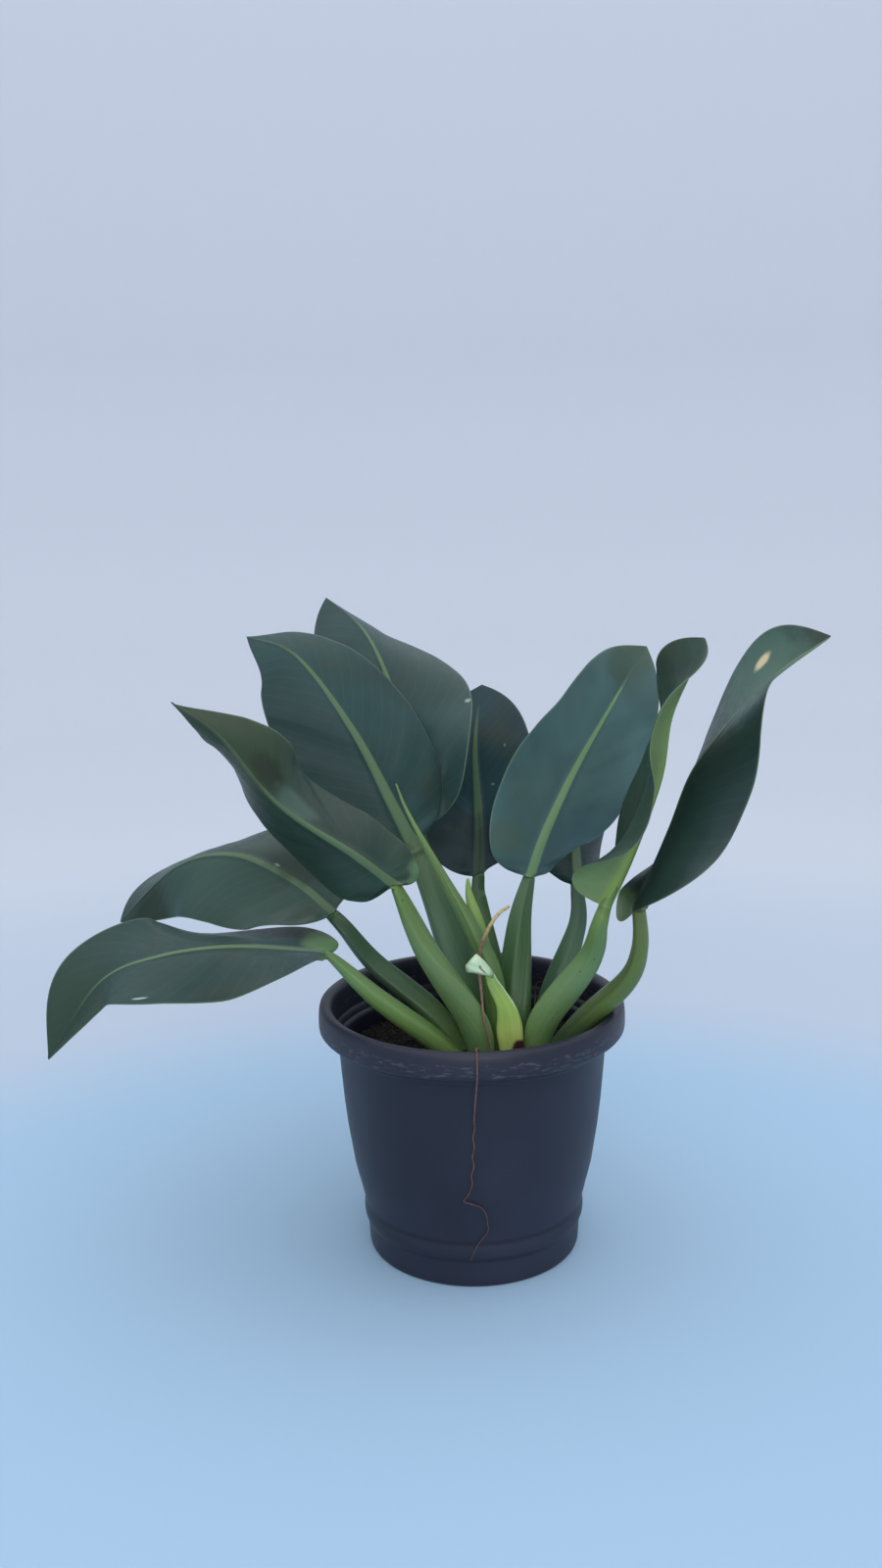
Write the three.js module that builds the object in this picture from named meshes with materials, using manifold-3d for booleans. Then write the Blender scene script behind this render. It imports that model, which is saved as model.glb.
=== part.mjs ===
// A potted philodendron with ten broad, undivided leaves in a black plastic nursery pot.
// Millimetres, +Z up. The origin is the middle of the pot's underside, on the surface it stands on.
// Azimuth 0 of the model is the side the plant is looked at from: -Y is the front, +X the right.

import * as THREE from 'three';
import { mergeVertices } from 'three/addons/utils/BufferGeometryUtils.js';
import Module from 'manifold-3d';

const wasm = await Module();
wasm.setup();

// Driving dimensions of the pot, the soil and the crown
const GAP = 0.3;
const POT_HEIGHT = 180;
const RIM_RADIUS = 107.5;
const BASE_RADIUS = 75.2;
const FLOOR_THICKNESS = 4;
const FOOT_RECESS = 2.5;
const POT_SIDES = 36;
const DRAIN_HOLES = 6;
const DRAIN_RADIUS = 5;
const DRAIN_CIRCLE = 44;
const DRILL_LENGTH = 30;
const DRILL_SIDES = 12;
const CROWN_CENTRE = [22, -18];
const CROWN_RADIUS = 38;
const CROWN_BOTTOM = 118;
const CROWN_TOP = 146;
const CROWN_HOLE_DEPTH = 60;
const CROWN_SIDES = 32;
const STAND_HEIGHT = CROWN_TOP + GAP;

// Driving dimensions that all the leaves share
const BLADE_THICKNESS = 1;
const KEEL_DEPTH = 5;
const KEEL_HALF_WIDTH = 6.5;
const WIDEST_STATION = 0.38;
const BASE_SHARE = 0.4;
const VEIN_SLOPE = 1.9;
const POINTED_TIP = [0.5, 0.86];
const BLADE_ROWS = 16;
const BLADE_COLUMNS = [0, 0.12, 0.4, 0.72, 1];
const STALK_RINGS = 12;
const STALK_SIDES = 10;
const NECK_WIDTH = 9;
const NECK_DROP = 6.2;
const NECK_GAP = 0.35;
const NECK_RUN = 13;
const NECK_SAG = 1;

const materials = {
  pot: new THREE.MeshStandardMaterial({ color: 0x23282f, roughness: 0.42, metalness: 0 }),
  soil: new THREE.MeshStandardMaterial({ color: 0x1d1814, roughness: 0.95, metalness: 0 }),
  crown: new THREE.MeshStandardMaterial({ color: 0x4a4a2c, roughness: 0.8, metalness: 0 }),
  blade: new THREE.MeshStandardMaterial({ color: 0x2f4a40, roughness: 0.38, metalness: 0 }),
  stalk: new THREE.MeshStandardMaterial({ color: 0x55803f, roughness: 0.5, metalness: 0 }),
  spear: new THREE.MeshStandardMaterial({ color: 0x7f9f55, roughness: 0.5, metalness: 0 }),
  cataphyll: new THREE.MeshStandardMaterial({ color: 0xb4cf78, roughness: 0.5, metalness: 0 }),
  root: new THREE.MeshStandardMaterial({ color: 0x6e5038, roughness: 0.85, metalness: 0 }),
};

const plant = new THREE.Group();

function addPiece(name, geometry, material) {
  const mesh = new THREE.Mesh(geometry, material);
  mesh.name = name;
  plant.add(mesh);
  return mesh;
}

// Value of evenly spaced keys at a share from 0 to 1, on a smooth curve through all of them
function keyed(keys, share) {
  const spans = keys.length - 1;
  if (spans === 0) {
    return keys[0];
  }
  const place = Math.min(Math.max(share, 0), 1) * spans;
  const first = Math.min(Math.floor(place), spans - 1);
  const t = place - first;
  const start = keys[first];
  const end = keys[first + 1];
  const before = first > 0 ? keys[first - 1] : 2 * start - end;
  const after = first + 2 <= spans ? keys[first + 2] : 2 * end - start;
  const slopeIn = (end - before) / 2;
  const slopeOut = (after - start) / 2;
  const cubic = (2 * start - 2 * end + slopeIn + slopeOut) * t ** 3;
  const square = (3 * end - 3 * start - 2 * slopeIn - slopeOut) * t ** 2;
  return cubic + square + slopeIn * t + start;
}

function smoothCurve(points) {
  const vectors = points.map((point) => new THREE.Vector3(...point));
  const curve = new THREE.CatmullRomCurve3(vectors, false, 'catmullrom', 0.5);
  curve.arcLengthDivisions = 400;
  return curve;
}

function closedGeometry(vertices, triangles) {
  const geometry = new THREE.BufferGeometry();
  const numbers = vertices.flatMap((vertex) => [vertex.x, vertex.y, vertex.z]);
  geometry.setAttribute('position', new THREE.Float32BufferAttribute(numbers, 3));
  geometry.setIndex(triangles.flat());
  geometry.computeVertexNormals();
  return geometry;
}

// Removes some closed solids from another one
function cut(geometry, cutters) {
  const solidOf = (source) => {
    const bare = source.clone();
    bare.deleteAttribute('normal');
    bare.deleteAttribute('uv');
    const merged = mergeVertices(bare, 1e-4);
    return new wasm.Manifold(new wasm.Mesh({
      numProp: 3,
      vertProperties: new Float32Array(merged.attributes.position.array),
      triVerts: new Uint32Array(merged.index.array),
    }));
  };
  let body = solidOf(geometry);
  for (const cutter of cutters) {
    body = body.subtract(solidOf(cutter));
  }
  const mesh = body.getMesh();
  const result = new THREE.BufferGeometry();
  result.setAttribute('position', new THREE.BufferAttribute(mesh.vertProperties, 3));
  result.setIndex(new THREE.BufferAttribute(mesh.triVerts, 1));
  result.computeVertexNormals();
  return result;
}

// A ring of points for each step of a stalk, joined to a closed tube with flat ends
function tubeOfRings(rings) {
  const sides = rings[0].length;
  const vertices = rings.flat();
  const triangles = [];
  for (let ring = 0; ring < rings.length - 1; ring++) {
    for (let side = 0; side < sides; side++) {
      const next = (side + 1) % sides;
      const low = ring * sides;
      const high = low + sides;
      triangles.push([low + side, low + next, high + next]);
      triangles.push([low + side, high + next, high + side]);
    }
  }
  const last = (rings.length - 1) * sides;
  for (let side = 1; side < sides - 1; side++) {
    triangles.push([0, side + 1, side]);
    triangles.push([last, last + side, last + side + 1]);
  }
  return closedGeometry(vertices, triangles);
}

function squareTo(direction, tangent) {
  return direction.clone().addScaledVector(tangent, -direction.dot(tangent)).normalize();
}

// A lathe turned about +Z from a profile of radius and height
function turned(profile, sides) {
  const geometry = new THREE.LatheGeometry(profile.map(([r, z]) => new THREE.Vector2(r, z)), sides);
  geometry.rotateX(Math.PI / 2);
  return geometry;
}

// The pot: one moulded piece with a stepped foot, a swelling wall and a rolled rim.
// It stands on its outer foot ring and on a round pad in the middle of its underside.
const potOutside = [
  [62, FOOT_RECESS], [63.5, 0], [73, 0], [BASE_RADIUS, 3], [76, 17], [77.8, 22], [78.6, 27],
  [78.2, 34], [80, 44], [82.5, 54], [84.8, 64], [86.5, 76], [89, 92], [91, 110], [92.6, 130],
  [94, 148], [95.5, 157], [100, 160.5], [106, 161.5], [RIM_RADIUS, 164.5], [RIM_RADIUS, 174],
  [106.6, 178], [104.8, POT_HEIGHT],
];
const potInside = [
  [101, POT_HEIGHT], [98.6, 177.5], [97.6, 172], [96.6, 155], [93, 153], [91.8, 148],
  [89.8, 120], [87.4, 95], [83, 64], [77, 40], [73.6, 14], [70, FOOT_RECESS + FLOOR_THICKNESS],
];
const potProfile = [
  [0, 0], [22, 0], [23.5, FOOT_RECESS], ...potOutside, ...potInside,
  [0, FOOT_RECESS + FLOOR_THICKNESS],
];

function drainHoles() {
  const holes = [];
  for (let hole = 0; hole < DRAIN_HOLES; hole++) {
    const angle = (hole + 0.5) * 2 * Math.PI / DRAIN_HOLES;
    const bore = new THREE.CylinderGeometry(DRAIN_RADIUS, DRAIN_RADIUS, DRILL_LENGTH, DRILL_SIDES);
    bore.rotateX(Math.PI / 2);
    bore.translate(DRAIN_CIRCLE * Math.cos(angle), DRAIN_CIRCLE * Math.sin(angle), 0);
    holes.push(bore);
  }
  return holes;
}

addPiece('pot', cut(turned(potProfile, POT_SIDES), drainHoles()), materials.pot);

// The soil fills the pot from its floor and rises a little to the crown, which stands in a plain hole
const soilWall = potInside.slice(5).reverse().map(([r, z], index) => (
  [r - 0.5, index === 0 ? z + GAP : z]
));
const soilProfile = [
  [0, FOOT_RECESS + FLOOR_THICKNESS + GAP], ...soilWall.slice(0, 5), [89.8, 132],
  [90.2, 139], [84, 142], [70, 143.5], [0, 145.5],
];
const holeRadius = CROWN_RADIUS + GAP;
const crownHole = new THREE.CylinderGeometry(holeRadius, holeRadius, CROWN_HOLE_DEPTH, CROWN_SIDES);
crownHole.rotateX(Math.PI / 2);
crownHole.translate(CROWN_CENTRE[0], CROWN_CENTRE[1], CROWN_BOTTOM - GAP + CROWN_HOLE_DEPTH / 2);
addPiece('soil', cut(turned(soilProfile, POT_SIDES), [crownHole]), materials.soil);

// The crown: the short thick stem that all the leaves grow from, level with the soil
const crown = turned([
  [0, CROWN_BOTTOM], [CROWN_RADIUS - 6, CROWN_BOTTOM], [CROWN_RADIUS, CROWN_BOTTOM + 6],
  [CROWN_RADIUS, CROWN_TOP - 2], [CROWN_RADIUS - 2, CROWN_TOP], [0, CROWN_TOP],
], CROWN_SIDES);
crown.translate(CROWN_CENTRE[0], CROWN_CENTRE[1], 0);
addPiece('crown', crown, materials.crown);

// Half of a flat leaf outline: across and along the midrib, from the stalk (0) to the tip (1)
function halfOutline(halfWidth, length, { lobe, tip = POINTED_TIP }) {
  const widest = WIDEST_STATION * length;
  const base = new THREE.CubicBezierCurve(
    new THREE.Vector2(0, 0),
    new THREE.Vector2(0.3 * halfWidth, -2.1 * lobe),
    new THREE.Vector2(halfWidth, -0.9 * lobe),
    new THREE.Vector2(halfWidth, widest),
  );
  const upper = new THREE.CubicBezierCurve(
    new THREE.Vector2(halfWidth, widest),
    new THREE.Vector2(halfWidth, widest + 0.55 * (length - widest)),
    new THREE.Vector2(tip[0] * halfWidth, tip[1] * length),
    new THREE.Vector2(0, length),
  );
  return (share) => {
    if (share < BASE_SHARE) {
      return base.getPoint(share / BASE_SHARE);
    }
    return upper.getPoint((share - BASE_SHARE) / (1 - BASE_SHARE));
  };
}

// The frame of a leaf's midrib at a share of its length: place, tangent, upper normal, right side
function midribFrame(leaf, curve, share) {
  const clamped = Math.min(Math.max(share, 0), 1);
  const tangent = curve.getTangentAt(clamped);
  const place = curve.getPointAt(clamped).addScaledVector(tangent, (share - clamped) * leaf.length);
  const facing = squareTo(new THREE.Vector3(...leaf.facing), tangent);
  const roll = THREE.MathUtils.degToRad(keyed(leaf.roll, clamped));
  const side = new THREE.Vector3().crossVectors(tangent, facing);
  const up = facing.clone().multiplyScalar(Math.cos(roll)).addScaledVector(side, Math.sin(roll));
  const right = new THREE.Vector3().crossVectors(tangent, up);
  return { place, tangent, up, right };
}

// A point of the upper surface and the surface normal there.
// Each half is folded up or down at the midrib and curls on towards its margin.
function bladePoint(leaf, curve, half, across, along) {
  const share = Math.min(Math.max(along / leaf.length, 0), 1);
  const frame = midribFrame(leaf, curve, along / leaf.length);
  const fold = THREE.MathUtils.degToRad(keyed(half.fold, share));
  const bend = THREE.MathUtils.degToRad(keyed(half.curl, share)) * across / leaf.halfWidth;
  const chord = Math.abs(bend) < 1e-4 ? across : across * Math.sin(bend / 2) / (bend / 2);
  const outward = frame.right.clone().multiplyScalar(half.sign);
  const rise = fold + bend / 2;
  const point = frame.place.clone()
    .addScaledVector(outward, chord * Math.cos(rise))
    .addScaledVector(frame.up, chord * Math.sin(rise));
  const tilt = fold + bend;
  const normal = frame.up.clone().multiplyScalar(Math.cos(tilt))
    .addScaledVector(outward, -Math.sin(tilt));
  return { point, normal };
}

function bladeDepth(leaf, across, along) {
  if (along < 0) {
    return BLADE_THICKNESS;
  }
  const share = Math.min(along / leaf.length, 1);
  const keel = Math.max(0, 1 - across / KEEL_HALF_WIDTH);
  return BLADE_THICKNESS + KEEL_DEPTH * (1 - share) * keel;
}

// The blade: two waved faces a millimetre apart, with a keel under the midrib
function bladeGeometry(leaf, curve) {
  const halves = [
    { sign: -1, ...leaf.left },
    { sign: 1, ...leaf.right },
  ];
  const vertices = [];
  const rows = [];
  const addPair = (half, across, along) => {
    const { point, normal } = bladePoint(leaf, curve, half, across, along);
    vertices.push(point, point.clone().addScaledVector(normal, -bladeDepth(leaf, across, along)));
    return vertices.length - 2;
  };
  for (let row = 0; row <= BLADE_ROWS; row++) {
    const share = row / BLADE_ROWS;
    const root = leaf.length * share ** VEIN_SLOPE;
    const middle = addPair(halves[1], 0, root);
    if (row === 0 || row === BLADE_ROWS) {
      rows.push(new Array(2 * BLADE_COLUMNS.length - 1).fill(middle));
      continue;
    }
    const sides = halves.map((half) => {
      const edge = halfOutline(leaf.halfWidth, leaf.length, half)(share);
      return BLADE_COLUMNS.slice(1).map((part) => (
        addPair(half, edge.x * part, root + (edge.y - root) * part)
      ));
    });
    rows.push([...sides[0].reverse(), middle, ...sides[1]]);
  }
  const triangles = [];
  const addFace = (a, b, c) => {
    if (a !== b && b !== c && a !== c) {
      triangles.push([a, b, c]);
    }
  };
  for (let row = 0; row < BLADE_ROWS; row++) {
    const low = rows[row];
    const high = rows[row + 1];
    const last = low.length - 1;
    for (let column = 0; column < last; column++) {
      addFace(low[column], low[column + 1], high[column + 1]);
      addFace(low[column], high[column + 1], high[column]);
      addFace(low[column] + 1, high[column + 1] + 1, low[column + 1] + 1);
      addFace(low[column] + 1, high[column] + 1, high[column + 1] + 1);
    }
    addFace(low[last], low[last] + 1, high[last] + 1);
    addFace(low[last], high[last] + 1, high[last]);
    addFace(low[0], high[0] + 1, low[0] + 1);
    addFace(low[0], high[0], high[0] + 1);
  }
  return closedGeometry(vertices, triangles);
}

// A stalk, spear or root: a tube along a smooth route whose upper side can be flattened.
// Its first ring is cut level where it stands on the crown.
function stemGeometry(route, widths, facings, shape) {
  const curve = smoothCurve(route);
  const rings = [];
  for (let step = 0; step <= shape.rings; step++) {
    const share = step / shape.rings;
    const place = curve.getPointAt(share);
    const tangent = curve.getTangentAt(share);
    const [start, end] = facings;
    const up = squareTo(start.clone().lerp(end, share), tangent);
    const right = new THREE.Vector3().crossVectors(tangent, up);
    const radius = keyed(widths, share) / 2;
    const ring = [];
    for (let side = 0; side < shape.sides; side++) {
      const angle = 2 * Math.PI * side / shape.sides;
      const height = Math.sin(angle) * (Math.sin(angle) > 0 ? shape.upper : shape.lower);
      const point = place.clone()
        .addScaledVector(right, -radius * Math.cos(angle))
        .addScaledVector(up, radius * height);
      if (step === 0) {
        point.addScaledVector(tangent, (STAND_HEIGHT - point.z) / tangent.z);
      }
      ring.push(point);
    }
    rings.push(ring);
  }
  return tubeOfRings(rings);
}

const stalkShape = { rings: STALK_RINGS, sides: STALK_SIDES, upper: 0.5, lower: 0.9 };

// Towards the middle of the crown and upwards, the way the flat side of every stalk faces at its foot
function inwardFrom(foot) {
  return new THREE.Vector3(CROWN_CENTRE[0] - foot[0], CROWN_CENTRE[1] - foot[1], 14).normalize();
}

function addLeaf(leaf) {
  const curve = smoothCurve(leaf.midrib);
  leaf.length = curve.getLength();
  addPiece(`${leaf.name}_blade`, bladeGeometry(leaf, curve), materials.blade);
  const { place, tangent, up } = midribFrame(leaf, curve, 0);
  const behind = (back, drop) => (
    place.clone().addScaledVector(tangent, -back).addScaledVector(up, -drop).toArray()
  );
  const foot = [leaf.foot[0], leaf.foot[1], STAND_HEIGHT];
  const neckEnd = behind(leaf.neckGap ?? NECK_GAP, NECK_DROP);
  const route = [foot, ...leaf.stalk, behind(NECK_RUN, NECK_DROP + NECK_SAG), neckEnd];
  const widths = [...leaf.stalkWidths, NECK_WIDTH];
  const stalk = stemGeometry(route, widths, [inwardFrom(foot), up], stalkShape);
  addPiece(`${leaf.name}_stalk`, stalk, materials.stalk);
}

// The ten leaves, from the lowest on the left round the back to the far right.
// midrib: route from the stalk to the tip. facing: the way the upper side looks, rolled by roll.
// fold and curl: how each half stands up (+) or hangs (-) from base to tip, in degrees.
// lobe: how far each half reaches back past the stalk. tip: shares of the half width and the length
// that shape a half's tip, where it isn't the usual pointed one.
const leaves = [
  {
    name: 'leaf_01',
    midrib: [[-100, -33, 225], [-160, -41, 233], [-209, -52, 230], [-248, -54, 213], [-280, -73, 168]],
    facing: [-0.2, -0.35, 0.9], roll: [10, 4, 1, 1], halfWidth: 54,
    left: { lobe: 1, fold: [23, -1, 12, 20], curl: [0, -14, -1, 25] },
    right: { lobe: 7, fold: [-4, -14, 5, 19], curl: [5, -13, 7, 17] },
    neckGap: 1.8, foot: [-4, -25], stalk: [[-30, -27, 163], [-65, -30, 191]], stalkWidths: [15, 19, 18, 14],
  },
  {
    name: 'leaf_02',
    midrib: [[-95, 1, 242], [-124, 21, 261], [-168, 40, 276], [-214, 59, 263], [-260, 71, 218]],
    facing: [-0.2, -0.5, 0.85], roll: [6, -1, 5, -6], halfWidth: 55,
    left: { lobe: 1, fold: [17, -7, -11, -5], curl: [13, -8, -7, 0] },
    right: { lobe: -4, tip: [0.75, 0.95], fold: [1, -13, -22, -8], curl: [-5, -12, -26, -18] },
    foot: [-3, -7], stalk: [[-26, -6, 172], [-66, -1, 206]], stalkWidths: [15, 18, 17, 13],
  },
  {
    name: 'leaf_03',
    midrib: [[-51, -48, 276], [-75, -60, 299], [-123, -73, 337], [-155, -86, 382], [-184, -90, 405]],
    facing: [-0.2, -0.6, 0.7], roll: [-10, -5, -5, -7], halfWidth: 45,
    left: { lobe: 0, tip: [0.3, 0.85], fold: [-25, -54, -65, -75], curl: [-48, -64, -61, -73] },
    right: { lobe: 6, tip: [0.3, 0.84], fold: [-9, -16, -17, -22], curl: [-18, -21, -19, -20] },
    neckGap: 1.9, foot: [7, -40], stalk: [[-3, -41, 182], [-34, -45, 234]], stalkWidths: [16, 27, 26, 17],
  },
  {
    name: 'leaf_04',
    midrib: [[-38, 35, 279], [-53, 41, 309], [-82, 53, 364], [-121, 67, 415], [-159, 86, 428]],
    facing: [-0.1, -0.95, 0.4], roll: [6, 1, 0, 6], halfWidth: 54,
    left: { lobe: -4, tip: [0.62, 0.85], fold: [0, 0, 6, 5], curl: [0, 0, 1, -5] },
    right: { lobe: -6, fold: [-20, -20, -24, -38], curl: [-30, -23, -25, -24] },
    foot: [13, -13], stalk: [[-1, -2, 186], [-23, 23, 243]], stalkWidths: [15, 23, 21, 16],
  },
  {
    name: 'leaf_05',
    midrib: [[-36, 68, 284], [-44, 96, 336], [-56, 115, 386], [-75, 132, 426], [-106, 163, 450]],
    facing: [-0.2, -0.9, 0.4], roll: [-10, -7, 17, 24], halfWidth: 57,
    left: { lobe: 0, tip: [0.83, 0.91], fold: [0, -3, -5, -10], curl: [0, -8, -15, -24] },
    right: { lobe: -1, tip: [0.6, 0.87], fold: [12, 3, -30, -54], curl: [20, 12, -20, -48] },
    foot: [9, 6], stalk: [[-2, 22, 182], [-27, 50, 246]], stalkWidths: [15, 22, 19, 14],
  },
  {
    name: 'leaf_06',
    midrib: [[8, 66, 252], [9, 102, 289], [8, 141, 336], [15, 186, 377]],
    facing: [0, -0.8, 0.6], roll: [8, 1, -5], halfWidth: 48,
    left: { lobe: 3, tip: [0.65, 0.9], fold: [6, -7, -10], curl: [8, -6, -5] },
    right: { lobe: -6, tip: [0.7, 0.9], fold: [22, 15, 13], curl: [17, 11, 10] },
    neckGap: 0.75, foot: [29, 8], stalk: [[18, 27, 180], [9, 52, 230]], stalkWidths: [15, 20, 17, 12],
  },
  {
    name: 'leaf_07',
    midrib: [[43, 20, 262], [54, 18, 295], [75, 22, 339], [106, 34, 390], [128, 53, 420]],
    facing: [0.1, -0.95, 0.25], roll: [11, 3, 11, -2], halfWidth: 48,
    left: { lobe: 1, tip: [0.6, 0.9], fold: [6, 11, 17, 12], curl: [6, 14, 17, 12] },
    right: { lobe: 0, tip: [0.6, 0.88], fold: [-27, -9, -4, 11], curl: [-38, -12, -12, 6] },
    foot: [29, -14], stalk: [[31.6, -9.3, 173], [36, 10, 229]], stalkWidths: [15, 22, 19, 13],
  },
  {
    name: 'leaf_08',
    midrib: [[79, 41, 250], [81, 74, 281], [94, 106, 324], [109, 140, 373]],
    facing: [0.3, -0.8, 0.5], roll: [11, 5, 0], halfWidth: 46,
    left: { lobe: 2, fold: [1, -8, -13], curl: [0, 0, 0] },
    right: { lobe: 6, fold: [-18, -22, -11], curl: [-32, -29, 0] },
    neckGap: 2.3, foot: [45, -3], stalk: [[57, 10, 182], [75, 28, 223]], stalkWidths: [15, 21, 18, 13],
  },
  {
    name: 'leaf_09',
    midrib: [
      [85, -65, 265], [102, -63, 300], [119, -66, 348], [125, -70, 387], [137, -67, 414], [148, -61, 437],
    ],
    facing: [-0.57, 0.8, 0.3], roll: [-10, 11, 28, 47, 90], halfWidth: 52,
    left: { lobe: 8, tip: [1.15, 0.96], fold: [39, 39, 22, 4, 4], curl: [12, 14, 12, 3, -5] },
    right: { lobe: 1, tip: [0.5, 0.9], fold: [28, 9, 16, 27, 17], curl: [-47, -70, -60, -29, -10] },
    neckGap: 0.8, foot: [41, -37], stalk: [[47, -40, 178], [74, -53, 224]], stalkWidths: [15, 23, 21, 14],
  },
  {
    name: 'leaf_10',
    midrib: [
      [106, -52, 260], [130, -46, 310], [145, -47, 350], [171, -46, 384], [196, -46, 410], [230, -52, 436],
    ],
    facing: [-0.8, -0.35, 0.5], roll: [-25, -25, -17, -15, 1], halfWidth: 55,
    left: { lobe: 15, tip: [0.88, 0.88], fold: [6, -18, -12, 7, 34], curl: [-8, -9, -6, 0, 11] },
    right: { lobe: 5, fold: [33, 2, 0, 23, 41], curl: [-97, -81, -59, -24, 19] },
    neckGap: 1.9, foot: [49, -21], stalk: [[76, -27, 174], [103, -37, 207]], stalkWidths: [16, 22, 19, 15],
  },
];
leaves.forEach(addLeaf);

// The newest leaf is still rolled up into a tall pointed spear, with a short pointed sheath behind it
const towardsViewer = new THREE.Vector3(0, -1, 0.3);
const roundShape = { rings: 14, sides: 8, upper: 1, lower: 1 };
const spearRoute = [
  [19, -27, STAND_HEIGHT], [17, -22, 200], [4, -16, 231], [-19, -7, 270], [-42, 2, 313], [-50, 6, 333],
];
const spear = stemGeometry(spearRoute, [12, 16, 12, 7, 4, 1.4], [towardsViewer, towardsViewer], roundShape);
addPiece('spear', spear, materials.spear);

const sheathRoute = [
  [25.5, -20.8, STAND_HEIGHT], [23.4, -14, 172], [14, -6, 206], [9, -4, 236], [-1, -2, 267],
];
const flatShape = { rings: 8, sides: 8, upper: 0.5, lower: 0.5 };
const sheath = stemGeometry(sheathRoute, [5, 7, 8, 7, 1.4], [towardsViewer, towardsViewer], flatShape);
addPiece('spear_sheath', sheath, materials.spear);

// A pale sheath leaf in front, whose tip has folded over to the left
const cataphyllRoute = [
  [25, -45, STAND_HEIGHT], [23, -46, 184], [17, -48, 203], [9, -49, 219], [2, -51, 223], [-4, -54, 218],
];
const leafletShape = { rings: 14, sides: 8, upper: 0.35, lower: 0.35 };
const cataphyll = stemGeometry(
  cataphyllRoute, [12, 18, 15, 12, 14, 5], [towardsViewer, towardsViewer], leafletShape,
);
addPiece('cataphyll', cataphyll, materials.cataphyll);

// Two roots in the air: a stout brown one that rises in front of the stalks, and a thin one that
// hangs over the rim and down the front of the pot
const aerialRoute = [
  [16, -50, STAND_HEIGHT], [10, -54, 172], [7, -54, 186], [6, -49, 199], [5, -38, 212],
  [6, -34, 226], [11, -35, 240], [18, -36, 251], [25, -38, 257],
];
const rootShape = { rings: 24, sides: 6, upper: 1, lower: 1 };
const aerialRoot = stemGeometry(aerialRoute, [2.6, 2.4, 2.2], [towardsViewer, towardsViewer], rootShape);
addPiece('aerial_root', aerialRoot, materials.root);

const rimCrossing = [
  [3, -93, 174], [2, -98, POT_HEIGHT + 0.5], [1, -102, POT_HEIGHT + 2], [1, -106, POT_HEIGHT + 1],
  [1, -RIM_RADIUS - 1.4, 176], [1, -RIM_RADIUS - 1.4, 164], [0, -105, 150], [-1, -99.5, 132],
];
// Sideways place and height of the root where it runs down the wall
const hangingPlaces = [[-2, 110], [-2, 88], [-8, 69], [4, 63], [8, 48], [0, 32], [-4, 22]];

function wallPoint([x, z]) {
  const above = potOutside.findIndex(([, height], index) => index > 2 && height >= z);
  const [lowRadius, lowHeight] = potOutside[above - 1];
  const [highRadius, highHeight] = potOutside[above];
  const radius = THREE.MathUtils.mapLinear(z, lowHeight, highHeight, lowRadius, highRadius) + 1.3;
  return [x, -Math.sqrt(radius ** 2 - x ** 2), z];
}

const hangingRoute = [
  [10, -53, STAND_HEIGHT], [6, -76, 160], ...rimCrossing, ...hangingPlaces.map(wallPoint),
];
const hangingShape = { rings: 56, sides: 5, upper: 1, lower: 1 };
const hangingRoot = stemGeometry(hangingRoute, [1.4, 1.2, 1], [towardsViewer, towardsViewer], hangingShape);
addPiece('hanging_root', hangingRoot, materials.root);

export default plant;
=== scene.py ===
import math

import bmesh
import bpy
from mathutils import Euler, Matrix, Vector, noise


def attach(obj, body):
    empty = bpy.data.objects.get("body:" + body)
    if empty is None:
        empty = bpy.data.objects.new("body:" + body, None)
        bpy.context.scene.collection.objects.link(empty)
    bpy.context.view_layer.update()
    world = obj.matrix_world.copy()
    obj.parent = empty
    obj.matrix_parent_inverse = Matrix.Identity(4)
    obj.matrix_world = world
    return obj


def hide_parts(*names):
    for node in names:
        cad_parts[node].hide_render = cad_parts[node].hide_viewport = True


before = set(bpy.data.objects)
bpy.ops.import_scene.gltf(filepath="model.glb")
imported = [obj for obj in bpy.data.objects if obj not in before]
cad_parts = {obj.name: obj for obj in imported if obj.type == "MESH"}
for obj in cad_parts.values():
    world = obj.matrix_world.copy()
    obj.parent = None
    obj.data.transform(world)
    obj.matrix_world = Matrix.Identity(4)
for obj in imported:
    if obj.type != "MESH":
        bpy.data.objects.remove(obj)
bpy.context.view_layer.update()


# The nursery pot: one thin moulding of black polypropylene, dull from handling, with a stepped foot,
# a swelling wall and a rolled rim. Six round drain holes are cut in its floor. It is turned here from
# its wall section, and the holes are bored afterwards.
MM = 0.001


def tint(red, green, blue):
    """A colour given the way it looks on a screen, 0 to 255, as a linear colour with alpha."""
    parts = [c / 255 for c in (red, green, blue)]
    return (*[c / 12.92 if c <= 0.04045 else ((c + 0.055) / 1.055) ** 2.4 for c in parts], 1)


def place(tree, kind, inputs=None, **settings):
    """Adds a node, sets its properties, and links or fills its inputs by name or number."""
    node = tree.nodes.new(kind)
    for name, value in settings.items():
        setattr(node, name, value)
    for key, value in (inputs or {}).items():
        if isinstance(value, bpy.types.NodeSocket):
            tree.links.new(value, node.inputs[key])
        else:
            node.inputs[key].default_value = value
    return node


def maths(tree, operation, *values, **settings):
    return place(tree, "ShaderNodeMath", dict(enumerate(values)), operation=operation, **settings).outputs[0]


def times(tree, *values):
    return maths(tree, "MULTIPLY", *values)


def vectors(tree, operation, first, second=(0, 0, 0)):
    """Vector maths on one or two vectors, or on a vector and the amount that scales it."""
    inputs = {0: first, "Scale" if operation == "SCALE" else 1: second}
    node = place(tree, "ShaderNodeVectorMath", inputs, operation=operation)
    return node.outputs["Value" if operation in ("LENGTH", "DISTANCE", "DOT_PRODUCT") else "Vector"]


def split(tree, vector):
    return place(tree, "ShaderNodeSeparateXYZ", {0: vector}).outputs


def between(tree, value, low, high, first=0.0, last=1.0):
    """A smooth step of a value from first to last as it goes from low to high."""
    names = {"Value": value, "From Min": low, "From Max": high, "To Min": first, "To Max": last}
    return place(tree, "ShaderNodeMapRange", names, interpolation_type="SMOOTHSTEP").outputs[0]


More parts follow.
